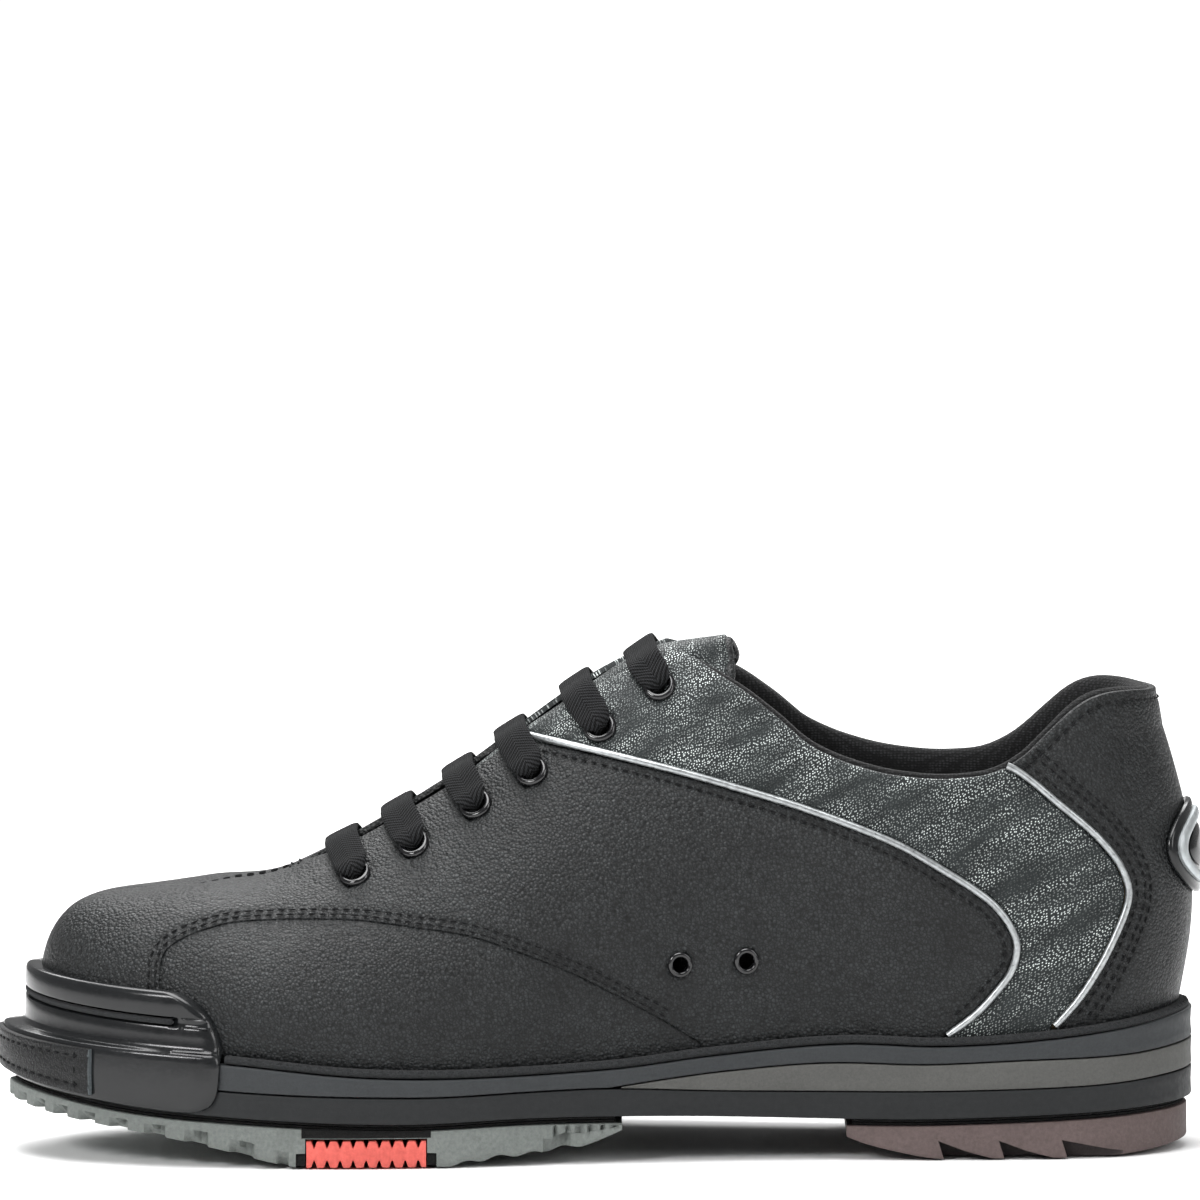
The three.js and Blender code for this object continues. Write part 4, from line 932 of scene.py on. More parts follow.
def repeat_tree():
    """One template shape at every point of a mesh."""
    group, given, out = tree("repeats", [("Template", "NodeSocketObject", None), ("Size", "NodeSocketVector", None),
                                          ("Material", "NodeSocketMaterial", None)])
    shape = add_node(group, "GeometryNodeObjectInfo", {"As Instance": True, "Object": given.outputs["Template"]})
    return end_tree(group, given, out,
                    turned_instances(group, given, given.outputs["Geometry"], shape.outputs["Geometry"]))


STITCHING, REPEATS = stitch_tree(), repeat_tree()


def guide_mesh(name, parts, lines):
    """Guide points with 'up' and 'along' directions; lines joins each part's points into an edge line."""
    points = np.vstack([p for p, _, _ in parts])
    edges, start = [], 0
    for p, _, _ in parts:
        if lines:
            edges += [(start + i, start + i + 1) for i in range(len(p) - 1)]
        start += len(p)
    mesh = bpy.data.meshes.new(name)
    mesh.from_pydata((points * MM).tolist(), edges, [])
    for k, label in ((1, "up"), (2, "along")):
        values = np.vstack([part[k] for part in parts])
        mesh.attributes.new(label, "FLOAT_VECTOR", "POINT").data.foreach_set("vector", values.ravel())
    guide = bpy.data.objects.new(name, mesh)
    bpy.context.collection.objects.link(guide)
    return guide


def grown(name, group, guide, settings, finish, sharp=40, **facts):
    """The mesh that a node tree makes on a guide, as one finished piece."""
    modifier = guide.modifiers.new("grow", "NODES")
    modifier.node_group = group
    for item in group.interface.items_tree:
        if item.in_out == "INPUT" and item.name in settings:
            modifier[item.identifier] = settings[item.name]
    settled = guide.evaluated_get(bpy.context.evaluated_depsgraph_get())
    mesh = bpy.data.meshes.new_from_object(settled)
    bpy.data.objects.remove(guide)
    for label in ("up", "along"):
        if label in mesh.attributes:
            mesh.attributes.remove(mesh.attributes[label])
    return finished(name, mesh, finish, sharp, **facts)


def stitched(name, rows, length=2.0, thick=0.55, pitch=2.7, finish=THREAD, **facts):
    parts = [(p, n, along_of(p)) for p, n in rows if len(p) > 2]
    guide = guide_mesh(name + "_guide", parts, lines=True)
    return grown(name, STITCHING, guide, {"Pitch": pitch * MM, "Size": (length * MM, thick * MM, thick * 0.9 * MM),
                                          "Material": finish.material}, finish, **facts)


def lathed(profile, sides=28):
    """A closed ring turned about Z from (radius, height) points."""
    turn = np.linspace(0, 2 * math.pi, sides, endpoint=False)
    p = np.asarray(profile, float)
    rings = np.stack([np.outer(np.cos(turn), p[:, 0]), np.outer(np.sin(turn), p[:, 0]),
                      np.tile(p[:, 1], (sides, 1))], axis=-1)
    return rings.reshape(-1, 3), grid_faces(sides, len(p)).tolist()


def scattered(name, template, spots, finish, sharp=40, size=1.0, **facts):
    """A template at each (point, up, along) spot."""
    shape = make(name + "_template", *template, finish, body=None)
    points, up, along = (np.asarray(k, float) for k in zip(*spots))
    guide = guide_mesh(name + "_guide", [(points, up, along)], lines=False)
    piece = grown(name, REPEATS, guide, {"Template": shape, "Size": (size,) * 3, "Material": finish.material},
                  finish, sharp, **facts)
    bpy.data.objects.remove(shape)
    return piece


rim = [(2.35, -3.6), (2.3, 0.2), (2.42, 0.68), (2.7, 0.98), (3.1, 1.08), (3.5, 1.0), (3.85, 0.72), (4.02, 0.3),
       (4.0, -0.05), (2.85, -0.1), (2.8, -3.6)]
spots = [(SPOTS[s]["point"][k], SPOTS[s]["normal"][k], (1.0, 0.0, 0.0)) for s in (-1, 1) for k in range(6)]
scattered("eyelets", lathed(rim), spots, EYELET, slot="eyelet",
          replaces=[f"eyelet_{w}_{k}" for w in WORDS.values() for k in range(1, 7)])
small = [(1.9, -2.0), (1.85, 0.1), (1.95, 0.5), (2.2, 0.75), (2.55, 0.82), (2.95, 0.68), (3.18, 0.3), (3.18, -0.05),
         (2.3, -0.1), (2.3, -2.0)]
scattered("vents", lathed(small), [(p, n, (1.0, 0.0, 0.0)) for p, n in zip(VENTS["point"], VENTS["normal"])],
          EYELET, slot="eyelet", replaces=["vent_1", "vent_2"])


# ---------------------------------------------------------------- lace

LACE_SIZE = dict(width=9.0, thick=1.5, gathered=4.1, over=1.45, under=7.9, inside=4.0, beside=3.2)
TAILS = [(6, [(13.4, 108.5), (11.8, 101.5), (10.4, 95)], [(10.3, 94.5), (9, 88.5), (7.8, 83)]),
         (5, [(-1.4, 98.5), (-2.9, 91.5), (-4.3, 85)], [(-4.4, 84.5), (-5.7, 78.5), (-6.9, 73)])]


def unit(v):
    return v / np.linalg.norm(v)


def eyelet_frame(side, row):
    """An eyelet's place, its normal, and the directions along the throat and across towards the crest."""
    s = SPOTS[side]
    a, b = s["point"][max(row - 2, 0)], s["point"][min(row, 5)]
    along = unit((b - a) * (1, 0, 1))
    across = unit(np.cross(along, s["normal"][row - 1]))
    if across[1] * side > 0:
        across = -across
    return s["point"][row - 1], s["normal"][row - 1], along, across, s["t"][row - 1]


def lace_stations():
    size, stations = LACE_SIZE, []

    def put(point, flat, width):
        flat = unit(np.asarray(flat, float))
        if stations and stations[-1][1] @ flat < 0:
            flat = -flat
        stations.append((np.asarray(point, float), flat, width, size["thick"]))

    def through(side, row, inward, tucked):
        point, normal, along, across, _ = eyelet_frame(side, row)
        turned = along if tucked else across
        path = [(4.6, size["over"], 8.8, along), (2.3, 2.05, 8.4, along), (0.5, 1.75, 6.8, along),
                (0, 0.2, size["gathered"], along), (0, -2.4, size["gathered"], unit(along + turned)),
                (0, -5.4, size["gathered"], turned)]
        for over, up, width, flat in (path if inward else path[::-1]):
            put(point + normal * up + across * over, flat, width)

    def bar(row, side):
        point, _, along, _, t0 = eyelet_frame(side, row)
        edge = value_at(THROAT, point[0]) + 0.8
        ends = []
        for way in (side, -side):
            want = crest_y(point[0]) + way * edge
            t, v, _ = solve(np.array([t0]), np.array([0.5 + way * 0.08]),
                            lambda p: np.column_stack([(p - point) @ along, p[:, 1] - want]))
            ends.append(off_form(t, v, size["over"])[0])
        for p in (ends[0], (ends[0] + ends[1]) / 2 + (-0.2, 0, 0.25), ends[1]):
            put(p, along, size["width"])

    def climb(side, start, end, beside):
        a, b = eyelet_frame(side, start), eyelet_frame(side, end)
        for share in (0.25, 0.5, 0.75):
            at = a[0] + (b[0] - a[0]) * share
            t, v, _ = on_side([(at[0], at[2])], side)
            across = a[3] + (b[3] - a[3]) * share
            put(off_form(t, v, -size["under"])[0] + across * beside, across, size["inside"])

    def tail(row, spots, step):
        t, v, _ = on_side(spots, 1)
        for point in off_form(t, v, -size["under"])[::step]:
            put(point, eyelet_frame(1, row)[2], size["inside"])

    first, last = TAILS[0][0], TAILS[1][0]
    tail(first, TAILS[0][1], -1)
    for row, side, following, beside in ((6, 1, 4, 1), (4, -1, 2, 1), (2, 1, 1, 0), (1, -1, 3, -1), (3, 1, 5, -1),
                                         (5, -1, None, 0)):
        through(side, row, False, row == first)
        bar(row, side)
        through(-side, row, True, row == last)
        if following:
            climb(-side, row, following, beside * size["beside"])
    tail(last, TAILS[1][1], 1)
    return stations


def braid(name, stations, finish, fine=7, **facts):
    """A flat band through stations, softly rounded at its edges, with UVs across it and along it in millimetres."""
    p = np.array([s[0] for s in stations])
    p = np.vstack([2 * p[0] - p[1], p, 2 * p[-1] - p[-2]])
    flats, sizes = np.array([s[1] for s in stations]), np.array([s[2:] for s in stations], float)
    centre, flat, size = [], [], []
    share = np.linspace(0, 1, fine, endpoint=False)
    for i in range(len(stations) - 1):
        a, b, c, d = p[i:i + 4]
        d0, d1, d2 = (max(np.linalg.norm(y - x), 1e-6) ** 0.5 for x, y in ((a, b), (b, c), (c, d)))
        m1 = ((b - a) / d0 - (c - a) / (d0 + d1) + (c - b) / d1) * d1
        m2 = ((c - b) / d1 - (d - b) / (d1 + d2) + (d - c) / d2) * d1
        s = share[:, None]
        centre.append(b * (1 + 2 * s) * (1 - s) ** 2 + m1 * s * (1 - s) ** 2
                      + c * s * s * (3 - 2 * s) + m2 * s * s * (s - 1))
        ease = s * s * (3 - 2 * s)
        flat.append(flats[i] * (1 - s) + flats[i + 1] * s)
        size.append(sizes[i] * (1 - ease) + sizes[i + 1] * ease)
    centre, flat, size = (np.vstack(k + [e[None]]) for k, e in ((centre, p[-2]), (flat, flats[-1]), (size, sizes[-1])))
    way = along_of(centre)
    flat -= way * (flat * way).sum(1)[:, None]
    flat /= np.linalg.norm(flat, axis=1, keepdims=True)
    up = np.cross(way, flat)
    turn = np.linspace(0, 2 * math.pi, 20, endpoint=False)
    c, s = np.cos(turn), np.sin(turn)
    across = np.sign(c) * np.abs(c) ** 0.45
    lift = np.sign(s) * np.abs(s) ** 0.75
    rings = (centre[:, None] + flat[:, None] * (across[None, :, None] * size[:, None, :1] / 2)
             + up[:, None] * (lift[None, :, None] * size[:, None, 1:] / 2))
    uv = np.broadcast_arrays(across[None] * size[:, :1] / 2, run_of(centre)[:, None])
    return make(name, *loft(rings), finish, sharp=80, uv=np.stack(uv, axis=-1).reshape(-1, 2), **facts)


braid("lace_webbing", lace_stations(), LACE, replaces=["lace"], slot="lace")
for i, (row, _, tip) in enumerate(TAILS):
    t, v, _ = on_side(tip, 1)
    along = eyelet_frame(1, row)[2]
    braid(f"aglet_{i + 1}_tip", [(p, along, 3.2, 1.7) for p in off_form(t, v, -LACE_SIZE["under"])], EYELET,
          replaces=[f"aglet_{i + 1}"], slot="eyelet")


# ---------------------------------------------------------------- toe guard, strip and heel badge


def guard_out(u):
    return 5.6 + 3.9 * np.clip(1 - u / 2.6, 0, 1) ** 1.2


def guard_section(u, closing=0.0):
    """Rounded [out, z] section of the guard at outline step u; closing from 0 to 1 draws it in on to the shoe."""
    k = min(u / 2.6, 1.0)
    low, ledge, groove, lip = (a + (b - a) * k for a, b in ((20.6, 12.6), (32, 27.8), (40, 35), (46.6, 42.6)))
    out, wall = float(guard_out(u)), 4.0
    deep = 2.3 + 1.7 * min(max((u - 2.26) / 0.12, 0), 1)
    face = [(out + 0.25 * math.sin(math.pi * m), low + 0.9 + (ledge - low - 2.1) * m) for m in np.linspace(0, 1, 12)]
    section = np.array([
        (MIDSOLE_OUT + 0.3, low), (out - 0.9, low), (out - 0.3, low + 0.25), *face, (out - 0.25, ledge - 0.4),
        (out - 0.9, ledge), (wall + 1.0, ledge + 0.25), (wall + 0.25, ledge + 0.8), (wall + 0.05, ledge + 1.8),
        (wall + 0.02, (ledge + groove) / 2), (wall, groove - 1.8), (wall - 0.2, groove - 1.3),
        (deep + 0.35, groove - 0.95), (deep, groove - 0.5), (deep, groove + 0.5), (deep + 0.35, groove + 0.95),
        (wall - 0.2, groove + 1.3), (wall, groove + 1.9), (wall - 0.05, lip - 3.2), (wall - 0.15, lip - 1.6),
        (wall - 0.5, lip - 0.6), (wall - 1.2, lip - 0.1), (wall - 2.2, lip), (-3, lip - 0.4), (-3, ledge),
        (-3, low + 6), (MIDSOLE_OUT + 0.3, low + 6)])
    seat = np.interp(section[:, 1], (ledge - 1.8, ledge + 0.8), (MIDSOLE_OUT + 0.3, 0.6))
    drawn = seat + (section[:, 0] - seat) * math.sqrt(max(1 - closing ** 2, 0))
    section[:, 0] = np.where(section[:, 0] > seat, drawn, section[:, 0])
    return section


def guard_end(z):
    return value_at([(12.6, -100), (13.5, -96.8), (15, -94.8), (17.5, -93.4), (21, -92.8), (29.5, -92.7), (34, -94),
                     (37, -95.6), (39.5, -98), (41.6, -101.4), (43, -106)], z)


share = np.sin(np.linspace(-1, 1, 161) * math.pi / 2)
last = guard_section(2.6)
reach = {side: np.array([outline_at(x, side) if side < 0 else 2 * STEPS - outline_at(x, side)
                         for x in guard_end(last[:, 1])]) for side in (-1, 1)}
rings = []
for s in share:
    reached = reach[-1 if s >= 0 else 1] * abs(s)
    closing = max((abs(s) - 0.955) / 0.045, 0)
    shape = np.array([guard_section(u, closing)[k] for k, u in enumerate(reached)])
    steps = reached if s >= 0 else -reached
    rings.append(np.column_stack([outline(steps, shape[:, 0]), shape[:, 1]]))
make("toe_guard_moulding", *loft(np.array(rings)), GUARD, sharp=50, replaces=["toe_guard"], slot="guard")

# The groove's fuzzy stitched line.
groove_row = np.array([(*outline(u, 3.1), 40 - 5 * min(abs(u) / 2.6, 1)) for u in np.linspace(-2.27, 2.27, 120)])
tube("guard_groove_yarn", groove_row, 0.8, WELT, slot="fastening")
outward = np.cross(along_of(groove_row), (0, 0, 1))
stitched("guard_groove_stitches", [(groove_row + outward * 0.4, outward)], length=1.5, thick=0.9, pitch=1.9,
         finish=WELT, slot="fastening")
# Leather strip on the guard's band, with a sewn border and a pale cut edge at each end.
STRIP_REACH = 1.6
rings, edge_rows = [], {-1: [], 1: []}
for u in np.linspace(-STRIP_REACH, STRIP_REACH, 90):
    k = min(abs(u) / 2.6, 1)
    low, high, near = 21.7 - 8 * k, 30.9 - 4.2 * k, float(guard_out(abs(u))) + 0.12
    over = near + 1.25
    section = [(near, low), (over - 0.5, low), (over - 0.12, low + 0.16), (over, low + 0.6), (over + 0.05, low + 1.4),
               (over - 0.12, low + 2.1), (over + 0.05, low + 2.8), (over + 0.15, (low + high) / 2),
               (over + 0.05, high - 2.8), (over - 0.12, high - 2.1), (over + 0.05, high - 1.4), (over, high - 0.6),
               (over - 0.12, high - 0.16), (over - 0.5, high), (near, high)]
    rings.append(stood(u, section))
    for way, z in ((-1, low + 2.1), (1, high - 2.1)):
        edge_rows[way].append((*outline(u, over - 0.08), z))
rings = np.array(rings)
make("toe_strip_leather", *loft(rings), STRIP_LEATHER, replaces=["toe_strip"], slot="leather")
strip_rows = []
for way in (-1, 1):
    p = np.array(edge_rows[way])[4:-4]
    strip_rows.append((p, np.cross(along_of(p), (0, 0, 1))))
for end in (4, -5):
    p = even(np.array([edge_rows[-1][end], edge_rows[1][end]]), 0.8)
    out = np.cross(along_of(np.array(edge_rows[1]))[end], (0, 0, 1))
    strip_rows.append((p, np.tile(out, (len(p), 1))))
stitched("toe_strip_stitches", strip_rows, length=2.0, thick=0.85, pitch=2.9, slot="piping")
for end, word in ((-1, "medial"), (0, "lateral")):
    core = rings[end].mean(axis=0)
    cut = (rings[end] - core) * (0.97, 0.97, 0.985) + core
    way = unit(rings[end].mean(0) - rings[end - 1 if end else 1].mean(0))
    make(f"toe_strip_cut_{word}", *loft(np.array([cut - way * 0.25, cut + way * 0.22])), CUT_EDGE, slot="leather")

BADGE = dict(half=19.0, tall=11.7, height=74.6)


def heel_oval(scale_y, scale_z, height, n=72):
    """Points of an oval on the heel's back, standing off the form by height."""
    turn = np.linspace(0, 2 * math.pi, n, endpoint=False)
    y, z = scale_y * np.cos(turn), BADGE["height"] + scale_z * np.sin(turn)
    return heel_points(y, z, height)


def heel_points(y, z, height):
    side = np.where(y < 0, -1, 1)
    t = np.full(len(y), 9.6)
    v = np.where(y < 0, 0.22, 0.78)
    t, v, _ = solve(t, v, lambda p: np.column_stack([p[:, 1] - y, p[:, 2] - z]))
    normal = form_normal(t, v)
    normal[:, 1] *= np.clip(np.abs(y) / 1.5, 0, 1)
    return form(t, v) + normal * np.broadcast_to(np.asarray(height, float), len(y))[:, None]


def oval_ring(name, bands, finish, **facts):
    """A closed ring or domed plate on the heel's back from (half width, half height, height) bands."""
    rings = np.stack([heel_oval(*band) for band in bands], axis=1)
    return make(name, rings.reshape(-1, 3), grid_faces(*rings.shape[:2]).tolist(), finish, **facts)


h, w = BADGE["tall"], BADGE["half"]
plate = [(0.05, 0.05, 0.3), (w * 0.5, h * 0.5, 0.3), (w - 0.4, h - 0.4, 0.3), (w, h, 0.55), (w, h, 1.15),
         (w - 0.25, h - 0.25, 1.6), (w - 0.8, h - 0.8, 1.85), (w * 0.8, h * 0.8, 1.9), (w * 0.5, h * 0.5, 1.95),
         (w * 0.2, h * 0.2, 1.95), (0.05, 0.05, 1.95)]
oval_ring("badge_plate_gloss", plate, GUARD, replaces=["badge_plate"], slot="guard")
w, h = w - 2, h - 2.4
ring = [(w - d, h - d, up) for d, up in ((0, 1.8), (0, 2.6), (0.3, 2.95), (0.9, 3.1), (1.7, 3.1), (2.3, 2.95),
                                         (2.6, 2.6), (2.6, 1.8))]
oval_ring("badge_ring_silver", ring, SILVER, replaces=["badge_ring"], slot="silver")
w, h = w - 4.2, h - 4.0
dome = [(0.05, 0.05, 1.8), (w, h, 1.8), (w, h, 2.2), (w - 0.5, h - 0.5, 2.5), (w * 0.6, h * 0.6, 2.75),
        (0.05, 0.05, 2.8)]
oval_ring("badge_centre_boss", dome, GUARD, slot="guard")


# ---------------------------------------------------------------- midsole, welt, footbed


def rounded_wall(out, low, high, soft=0.5, rows=3, inset=0.0):
    """[out, z] wall points from the upper face round the edge to the lower face."""
    middle = np.linspace(0, 1, rows + 2)[1:-1]
    pts = [(out - soft * 1.6, high), (out - soft, high), (out - soft * 0.3, high - soft * 0.3), (out, high - soft)]
    pts += [(out - inset * math.sin(math.pi * m), high - soft + (low - high + 2 * soft) * m) for m in middle]
    return pts + [(out, low + soft), (out - soft * 0.3, low + soft * 0.3), (out - soft, low), (out - soft * 1.6, low)]


def layer(name, u, out, low, high, finish, soft=0.5, inset=0.0, rows=3, **facts):
    """A sole layer round outline steps u between two height functions of x."""
    u = np.asarray(u, float)
    out = np.broadcast_to(np.asarray(out, float), u.shape)
    base = outline(u, out)
    lo, hi = low(base[:, 0]), high(base[:, 0])
    columns = []
    for i in range(len(u)):
        wall = rounded_wall(out[i], lo[i], hi[i], min(soft, (hi[i] - lo[i]) * 0.35), rows, inset)
        columns.append(stood(u[i], wall))
    return make(name, *slab(np.array(columns)), finish, **facts)


def height_of(points, add=0.0):
    return lambda x: np.maximum(value_at(points, x) + add, 0)


def under_top(x):
    """The top foam's lower face: over the base, and over the wedge where that lies between."""
    base = value_at(BASE_TOP, x)
    return 0.3 + np.where(x > 4.2, np.maximum(base, value_at(WEDGE_TOP, x)), base)


full = pair_loop(150)
layer("midsole_top_foam", full, MIDSOLE_OUT, under_top, height_of(FEATHER_HEIGHT), MID_TOP, inset=0.25,
      replaces=["midsole_top"], slot="midsole_top")
layer("midsole_wedge_foam", pair_loop(90, x0=4.6), MIDSOLE_OUT, height_of(BASE_TOP, 0.25), height_of(WEDGE_TOP),
      MID_WEDGE, soft=0.35, inset=0.15, replaces=["midsole_wedge"], slot="midsole_wedge")
layer("midsole_base_foam", full, MIDSOLE_OUT, height_of(BASE_BOTTOM), height_of(BASE_TOP), MID_BASE, soft=0.4,
      inset=0.15, replaces=["midsole_base"], slot="midsole_base")

turns = np.linspace(outline_at(-91.8, -1), outline_at(-91.8, 1), 360)
foot_z = value_at(FEATHER_HEIGHT, outline(turns)[:, 0])
bead = [(2.3, 0.35), (2.75, 0.55), (2.95, 1.0), (2.8, 1.6), (2.2, 2.05), (1.2, 2.2), (-1.5, 2.2), (-1.5, 0.35)]
rings = np.array([stood(u, np.add(bead, (0, z))) for u, z in zip(turns, foot_z)])
make("welt_bead", *loft(rings), WELT, sharp=60, replaces=["welt"], slot="fastening")
core = np.column_stack([outline(turns, 2.15), foot_z + 1.75])[4:-4]
lean = np.column_stack([outline(turns, 3.15), foot_z + 2.75])[4:-4] - core
stitched("welt_stitches", [(core, lean / np.linalg.norm(lean, axis=1, keepdims=True))], length=2.3, thick=1.25,
         pitch=2.5, finish=WELT, slot="fastening")

layer("footbed_foam", full, -6.2 - 2.8 * np.clip((t_at(full) - 4.5) / 1.2, 0, 1), height_of(FEATHER_HEIGHT, 2.6),
      height_of(FEATHER_HEIGHT, 6.6), LINING, soft=1.2, replaces=["footbed"], slot="lining")


# ---------------------------------------------------------------- soles


def tipped(side_out, tip_out, t):
    return side_out + (tip_out - side_out) * np.clip(1 - t / 2.6, 0, 1) ** 1.5


FRONT_END, HEEL_START, FLEX = 5.0, 61.0, (-72.5, -42.5)
PAD_DROP, PAD_SIDE, PAD_TIP = 1.8, 2.4, 8.0


def sole_pad(name, body, x0, x1, low, high, finish, notch=None, tip=PAD_TIP, skip=None, groove=None, **facts):
    """A rubber pad; notch is (pitch, width, depth, height) in millimetres of the lug notches along its lower edge."""
    pitch, width, depth, tall = notch or (10.0, 0.0, 0.0, 2.0)
    length = 150.0 if x0 is None else 95.0
    u = pair_loop(int(length / pitch * (18 if notch else 8)), x0=x0, x1=x1)
    t = t_at(u)
    out = tipped(PAD_SIDE, tip, t) if x0 is None else np.full(len(u), PAD_SIDE)
    half = len(u) // 2
    medial = np.arange(len(u)) < half
    if x0 is None:
        share = t / np.where(medial, t[0], t[-1])
    else:
        first = np.where(medial, t[half - 1], t[half])
        share = (t - first) / (STEPS - first.min())
    phase = (np.mod(share * length / pitch, 1.0) - 0.5) * pitch
    base = outline(u, out)
    allowed = (share * length / pitch < np.floor(length / pitch)) & (depth > 0)
    if skip:
        allowed &= ~((base[:, 0] > skip[0]) & (base[:, 0] < skip[1]))

    def cut_at(reach, lean):
        return np.clip((reach / 2 + 0.45 - np.abs(phase - lean)) / 0.9, 0, 1) * depth * allowed

    lo, hi = low(base[:, 0]), high(base[:, 0])
    roof_at = lo + np.minimum(tall, (hi - lo) * 0.6)
    columns = []
    for i, (o, z0, z1, roof, a, b) in enumerate(zip(out, lo, hi, roof_at, cut_at(width * 0.55, 0.9),
                                                    cut_at(width * 1.15, -0.3))):
        g = groove(base[i, 0]) if groove else 0.0
        columns.append(stood(u[i], [
            (o - 0.9, z1), (o - 0.45, z1), (o - 0.12, z1 - 0.15), (o - g * 0.5, z1 - 0.5),
            (o - g, z1 - (z1 - roof) * 0.4), (o - g, roof + 0.45), (o - g - 0.1 * (a > 0.1), roof + 0.1),
            (o - a - g * 0.5, roof - 0.1), (o - (a + b) / 2, (roof + z0) / 2), (o - b, z0 + 0.5),
            (o - b - 0.15, z0 + 0.15), (o - b - 0.5, z0), (o - b - 1.4, z0)]))
    return make(name, *slab(np.array(columns)), finish, body=body, sharp=32, **facts)


def rear_grooves(x):
    """Upright grooves where the front sole's wall curves round to its rear end."""
    return 1.7 * max(math.sin(x * 2 * math.pi / 2.9), 0) if x > -13 else 0.0


def scalloped(x):
    """The front sole's lower face, waved across behind the insert."""
    wave = 0.45 * (1 - np.cos((x + 37.0) * 2 * math.pi / 8.2))
    return sole_low(x) + np.where((x > -37.0) & (x < -4.2), wave, 0)


sole_low, sole_high = height_of(SOLE_BOTTOM), height_of(BASE_BOTTOM, -PAD_DROP)
front_pad = sole_pad("front_sole_rubber", "front_sole_unit", None, FRONT_END, scalloped, sole_high, SOLE,
                     (9.6, 3.8, 2.8, 3.6), skip=(FLEX[0] - 4, -14), groove=rear_grooves, replaces=["front_sole"],
                     slot="sole_grey")
heel_pad = sole_pad("heel_rubber", "heel_unit", HEEL_START, None, height_of(HEEL_BOTTOM), sole_high, HEEL,
                    tip=PAD_SIDE, replaces=["heel_pad"], slot="heel_brown")


def cutter(outline_xz, y0, y1, finish=SOLE):
    """A side-view outline pushed through from y0 to y1, in a throwaway object."""
    p = np.asarray(outline_xz, float)
    n = len(p)
    points = np.vstack([np.column_stack([p[:, 0], np.full(n, y), p[:, 1]]) for y in (y0, y1)])
    faces = [tuple(range(n)), tuple(range(2 * n - 1, n - 1, -1))]
    faces += [(i, i + n, (i + 1) % n + n, (i + 1) % n) for i in range(n)]
    return make("cutter", points, faces, finish, body=None)


def cut_away(piece, cutters, operation="DIFFERENCE"):
    """Cut (or keep only) what the throwaway cutters cover, and leave one plain mesh."""
    for tool in cutters:
        step = piece.modifiers.new("cut", "BOOLEAN")
        step.operation, step.solver, step.object = operation, "EXACT", tool
        step.material_mode = "TRANSFER"
    settled = piece.evaluated_get(bpy.context.evaluated_depsgraph_get())
    mesh = bpy.data.meshes.new_from_object(settled)
    piece.modifiers.clear()
    old = piece.data
    piece.data = mesh
    bpy.data.meshes.remove(old)
    mesh.set_sharp_from_angle(angle=math.radians(32))
    for tool in cutters:
        bpy.data.objects.remove(tool)
    return piece


roof = 7.2              # height of the slot that the insert fills
slot_foot = 2.3         # how much wider the slot is below
cut_away(front_pad, [cutter([
    (FLEX[0] - slot_foot, -4), (FLEX[1] + slot_foot, -4), (FLEX[1] + slot_foot, 3.5), (FLEX[1], 3.6), (FLEX[1], roof),
    (FLEX[0], roof), (FLEX[0], 3.6), (FLEX[0] - slot_foot, 3.5)], -90, 90)])
# The heel's notch walls take the cutters' darker finish: painted shade inside the notches.
teeth = []
for tip, back in ((83.6, 6.8), (98.6, 6.9), (114.2, 12.0)):
    tooth = [(tip, 4.5), (tip + 1.7, -1), (tip + back * 2.0, -1), (tip + back * 2.0, 0.05), (tip + back, 1.9)]
    teeth += [cutter(tooth, y0, y1, HEEL_RECESS_SHADE) for y0, y1 in ((-90, -27.5), (28.5, 90))]
cut_away(heel_pad, teeth)


def across_sole(x, out, wall):
    """A ring across the front sole at x; wall gives (inset, z) up one side, inset from out past the pad's wall."""
    ring = []
    for side in (-1, 1):
        u = outline_at(x, side)
        edge = outline(u, float(tipped(PAD_SIDE, PAD_TIP, t_at(u))) + out)[1]
        points = [(x, edge - side * inset, z) for inset, z in wall]
        ring += points if side < 0 else points[::-1]
    return ring


# Accordion insert: folds across the shoe, open above and below.
FOLDS, PITCH, DEEP = 9, 3.2, 1.7
x0, x1 = FLEX[0] + 0.3, FLEX[1] - 0.3
stations = [(x0, 0.0), (x0 + 0.25, 0.0)]
for i in range(FOLDS):
    x = x0 + (x1 - x0 - PITCH * FOLDS) / 2 + PITCH * (i + 0.5)
    stations += [(x + d, fold) for d, fold in ((-0.95, 0.0), (-0.65, 0.12), (-0.2, 0.92), (0, 1.0), (0.2, 0.92),
                                               (0.65, 0.12), (0.95, 0.0))]
stations += [(x1 - 0.25, 0.0), (x1, 0.0)]
rings = []
for x, fold in stations:
    z0, z1 = float(sole_low(np.array(x))) + DEEP * fold, roof - 0.5 - DEEP * fold
    rings.append(across_sole(x, -0.1, [(0.5, z0), (0.1, z0 + 0.25), (0, z0 + 0.7), (0, z1 - 0.7), (0.1, z1 - 0.25),
                                       (0.5, z1)]))
make("flex_insert_rubber", *loft(np.array(rings)), RED, body="front_sole_unit", sharp=45, replaces=["flex_insert"],
     slot="flex_red")


def cross_bar(name, x0, x1, low, high, out):
    """A bar of fabric across the front sole from wall to wall, standing out past the wall by out."""
    rings = [across_sole(x, out, [(0.4, low), (0, low + 0.4), (0, high(x) - 0.4), (0.4, high(x))])
             for x in np.linspace(x0, x1, 12)]
    make(name, *loft(np.array(rings)), FUZZ, body="front_sole_unit", sharp=45, slot="fastening")


cross_bar("flex_bridge_pad", FLEX[0] - 0.9, FLEX[1] + 0.9, roof - 0.15, lambda x: float(sole_high(x)) + 0.1, 0.12)
# Dark fabric bars fill the slots under the insert's ends: dark pieces standing in for the shade inside the slots.
cross_bar("flex_slot_front", FLEX[0] - 2.2, FLEX[0], 0.5, lambda x: 3.4, -0.3)
cross_bar("flex_slot_rear", FLEX[1], FLEX[1] + 2.2, 0.5, lambda x: 3.4, -0.3)

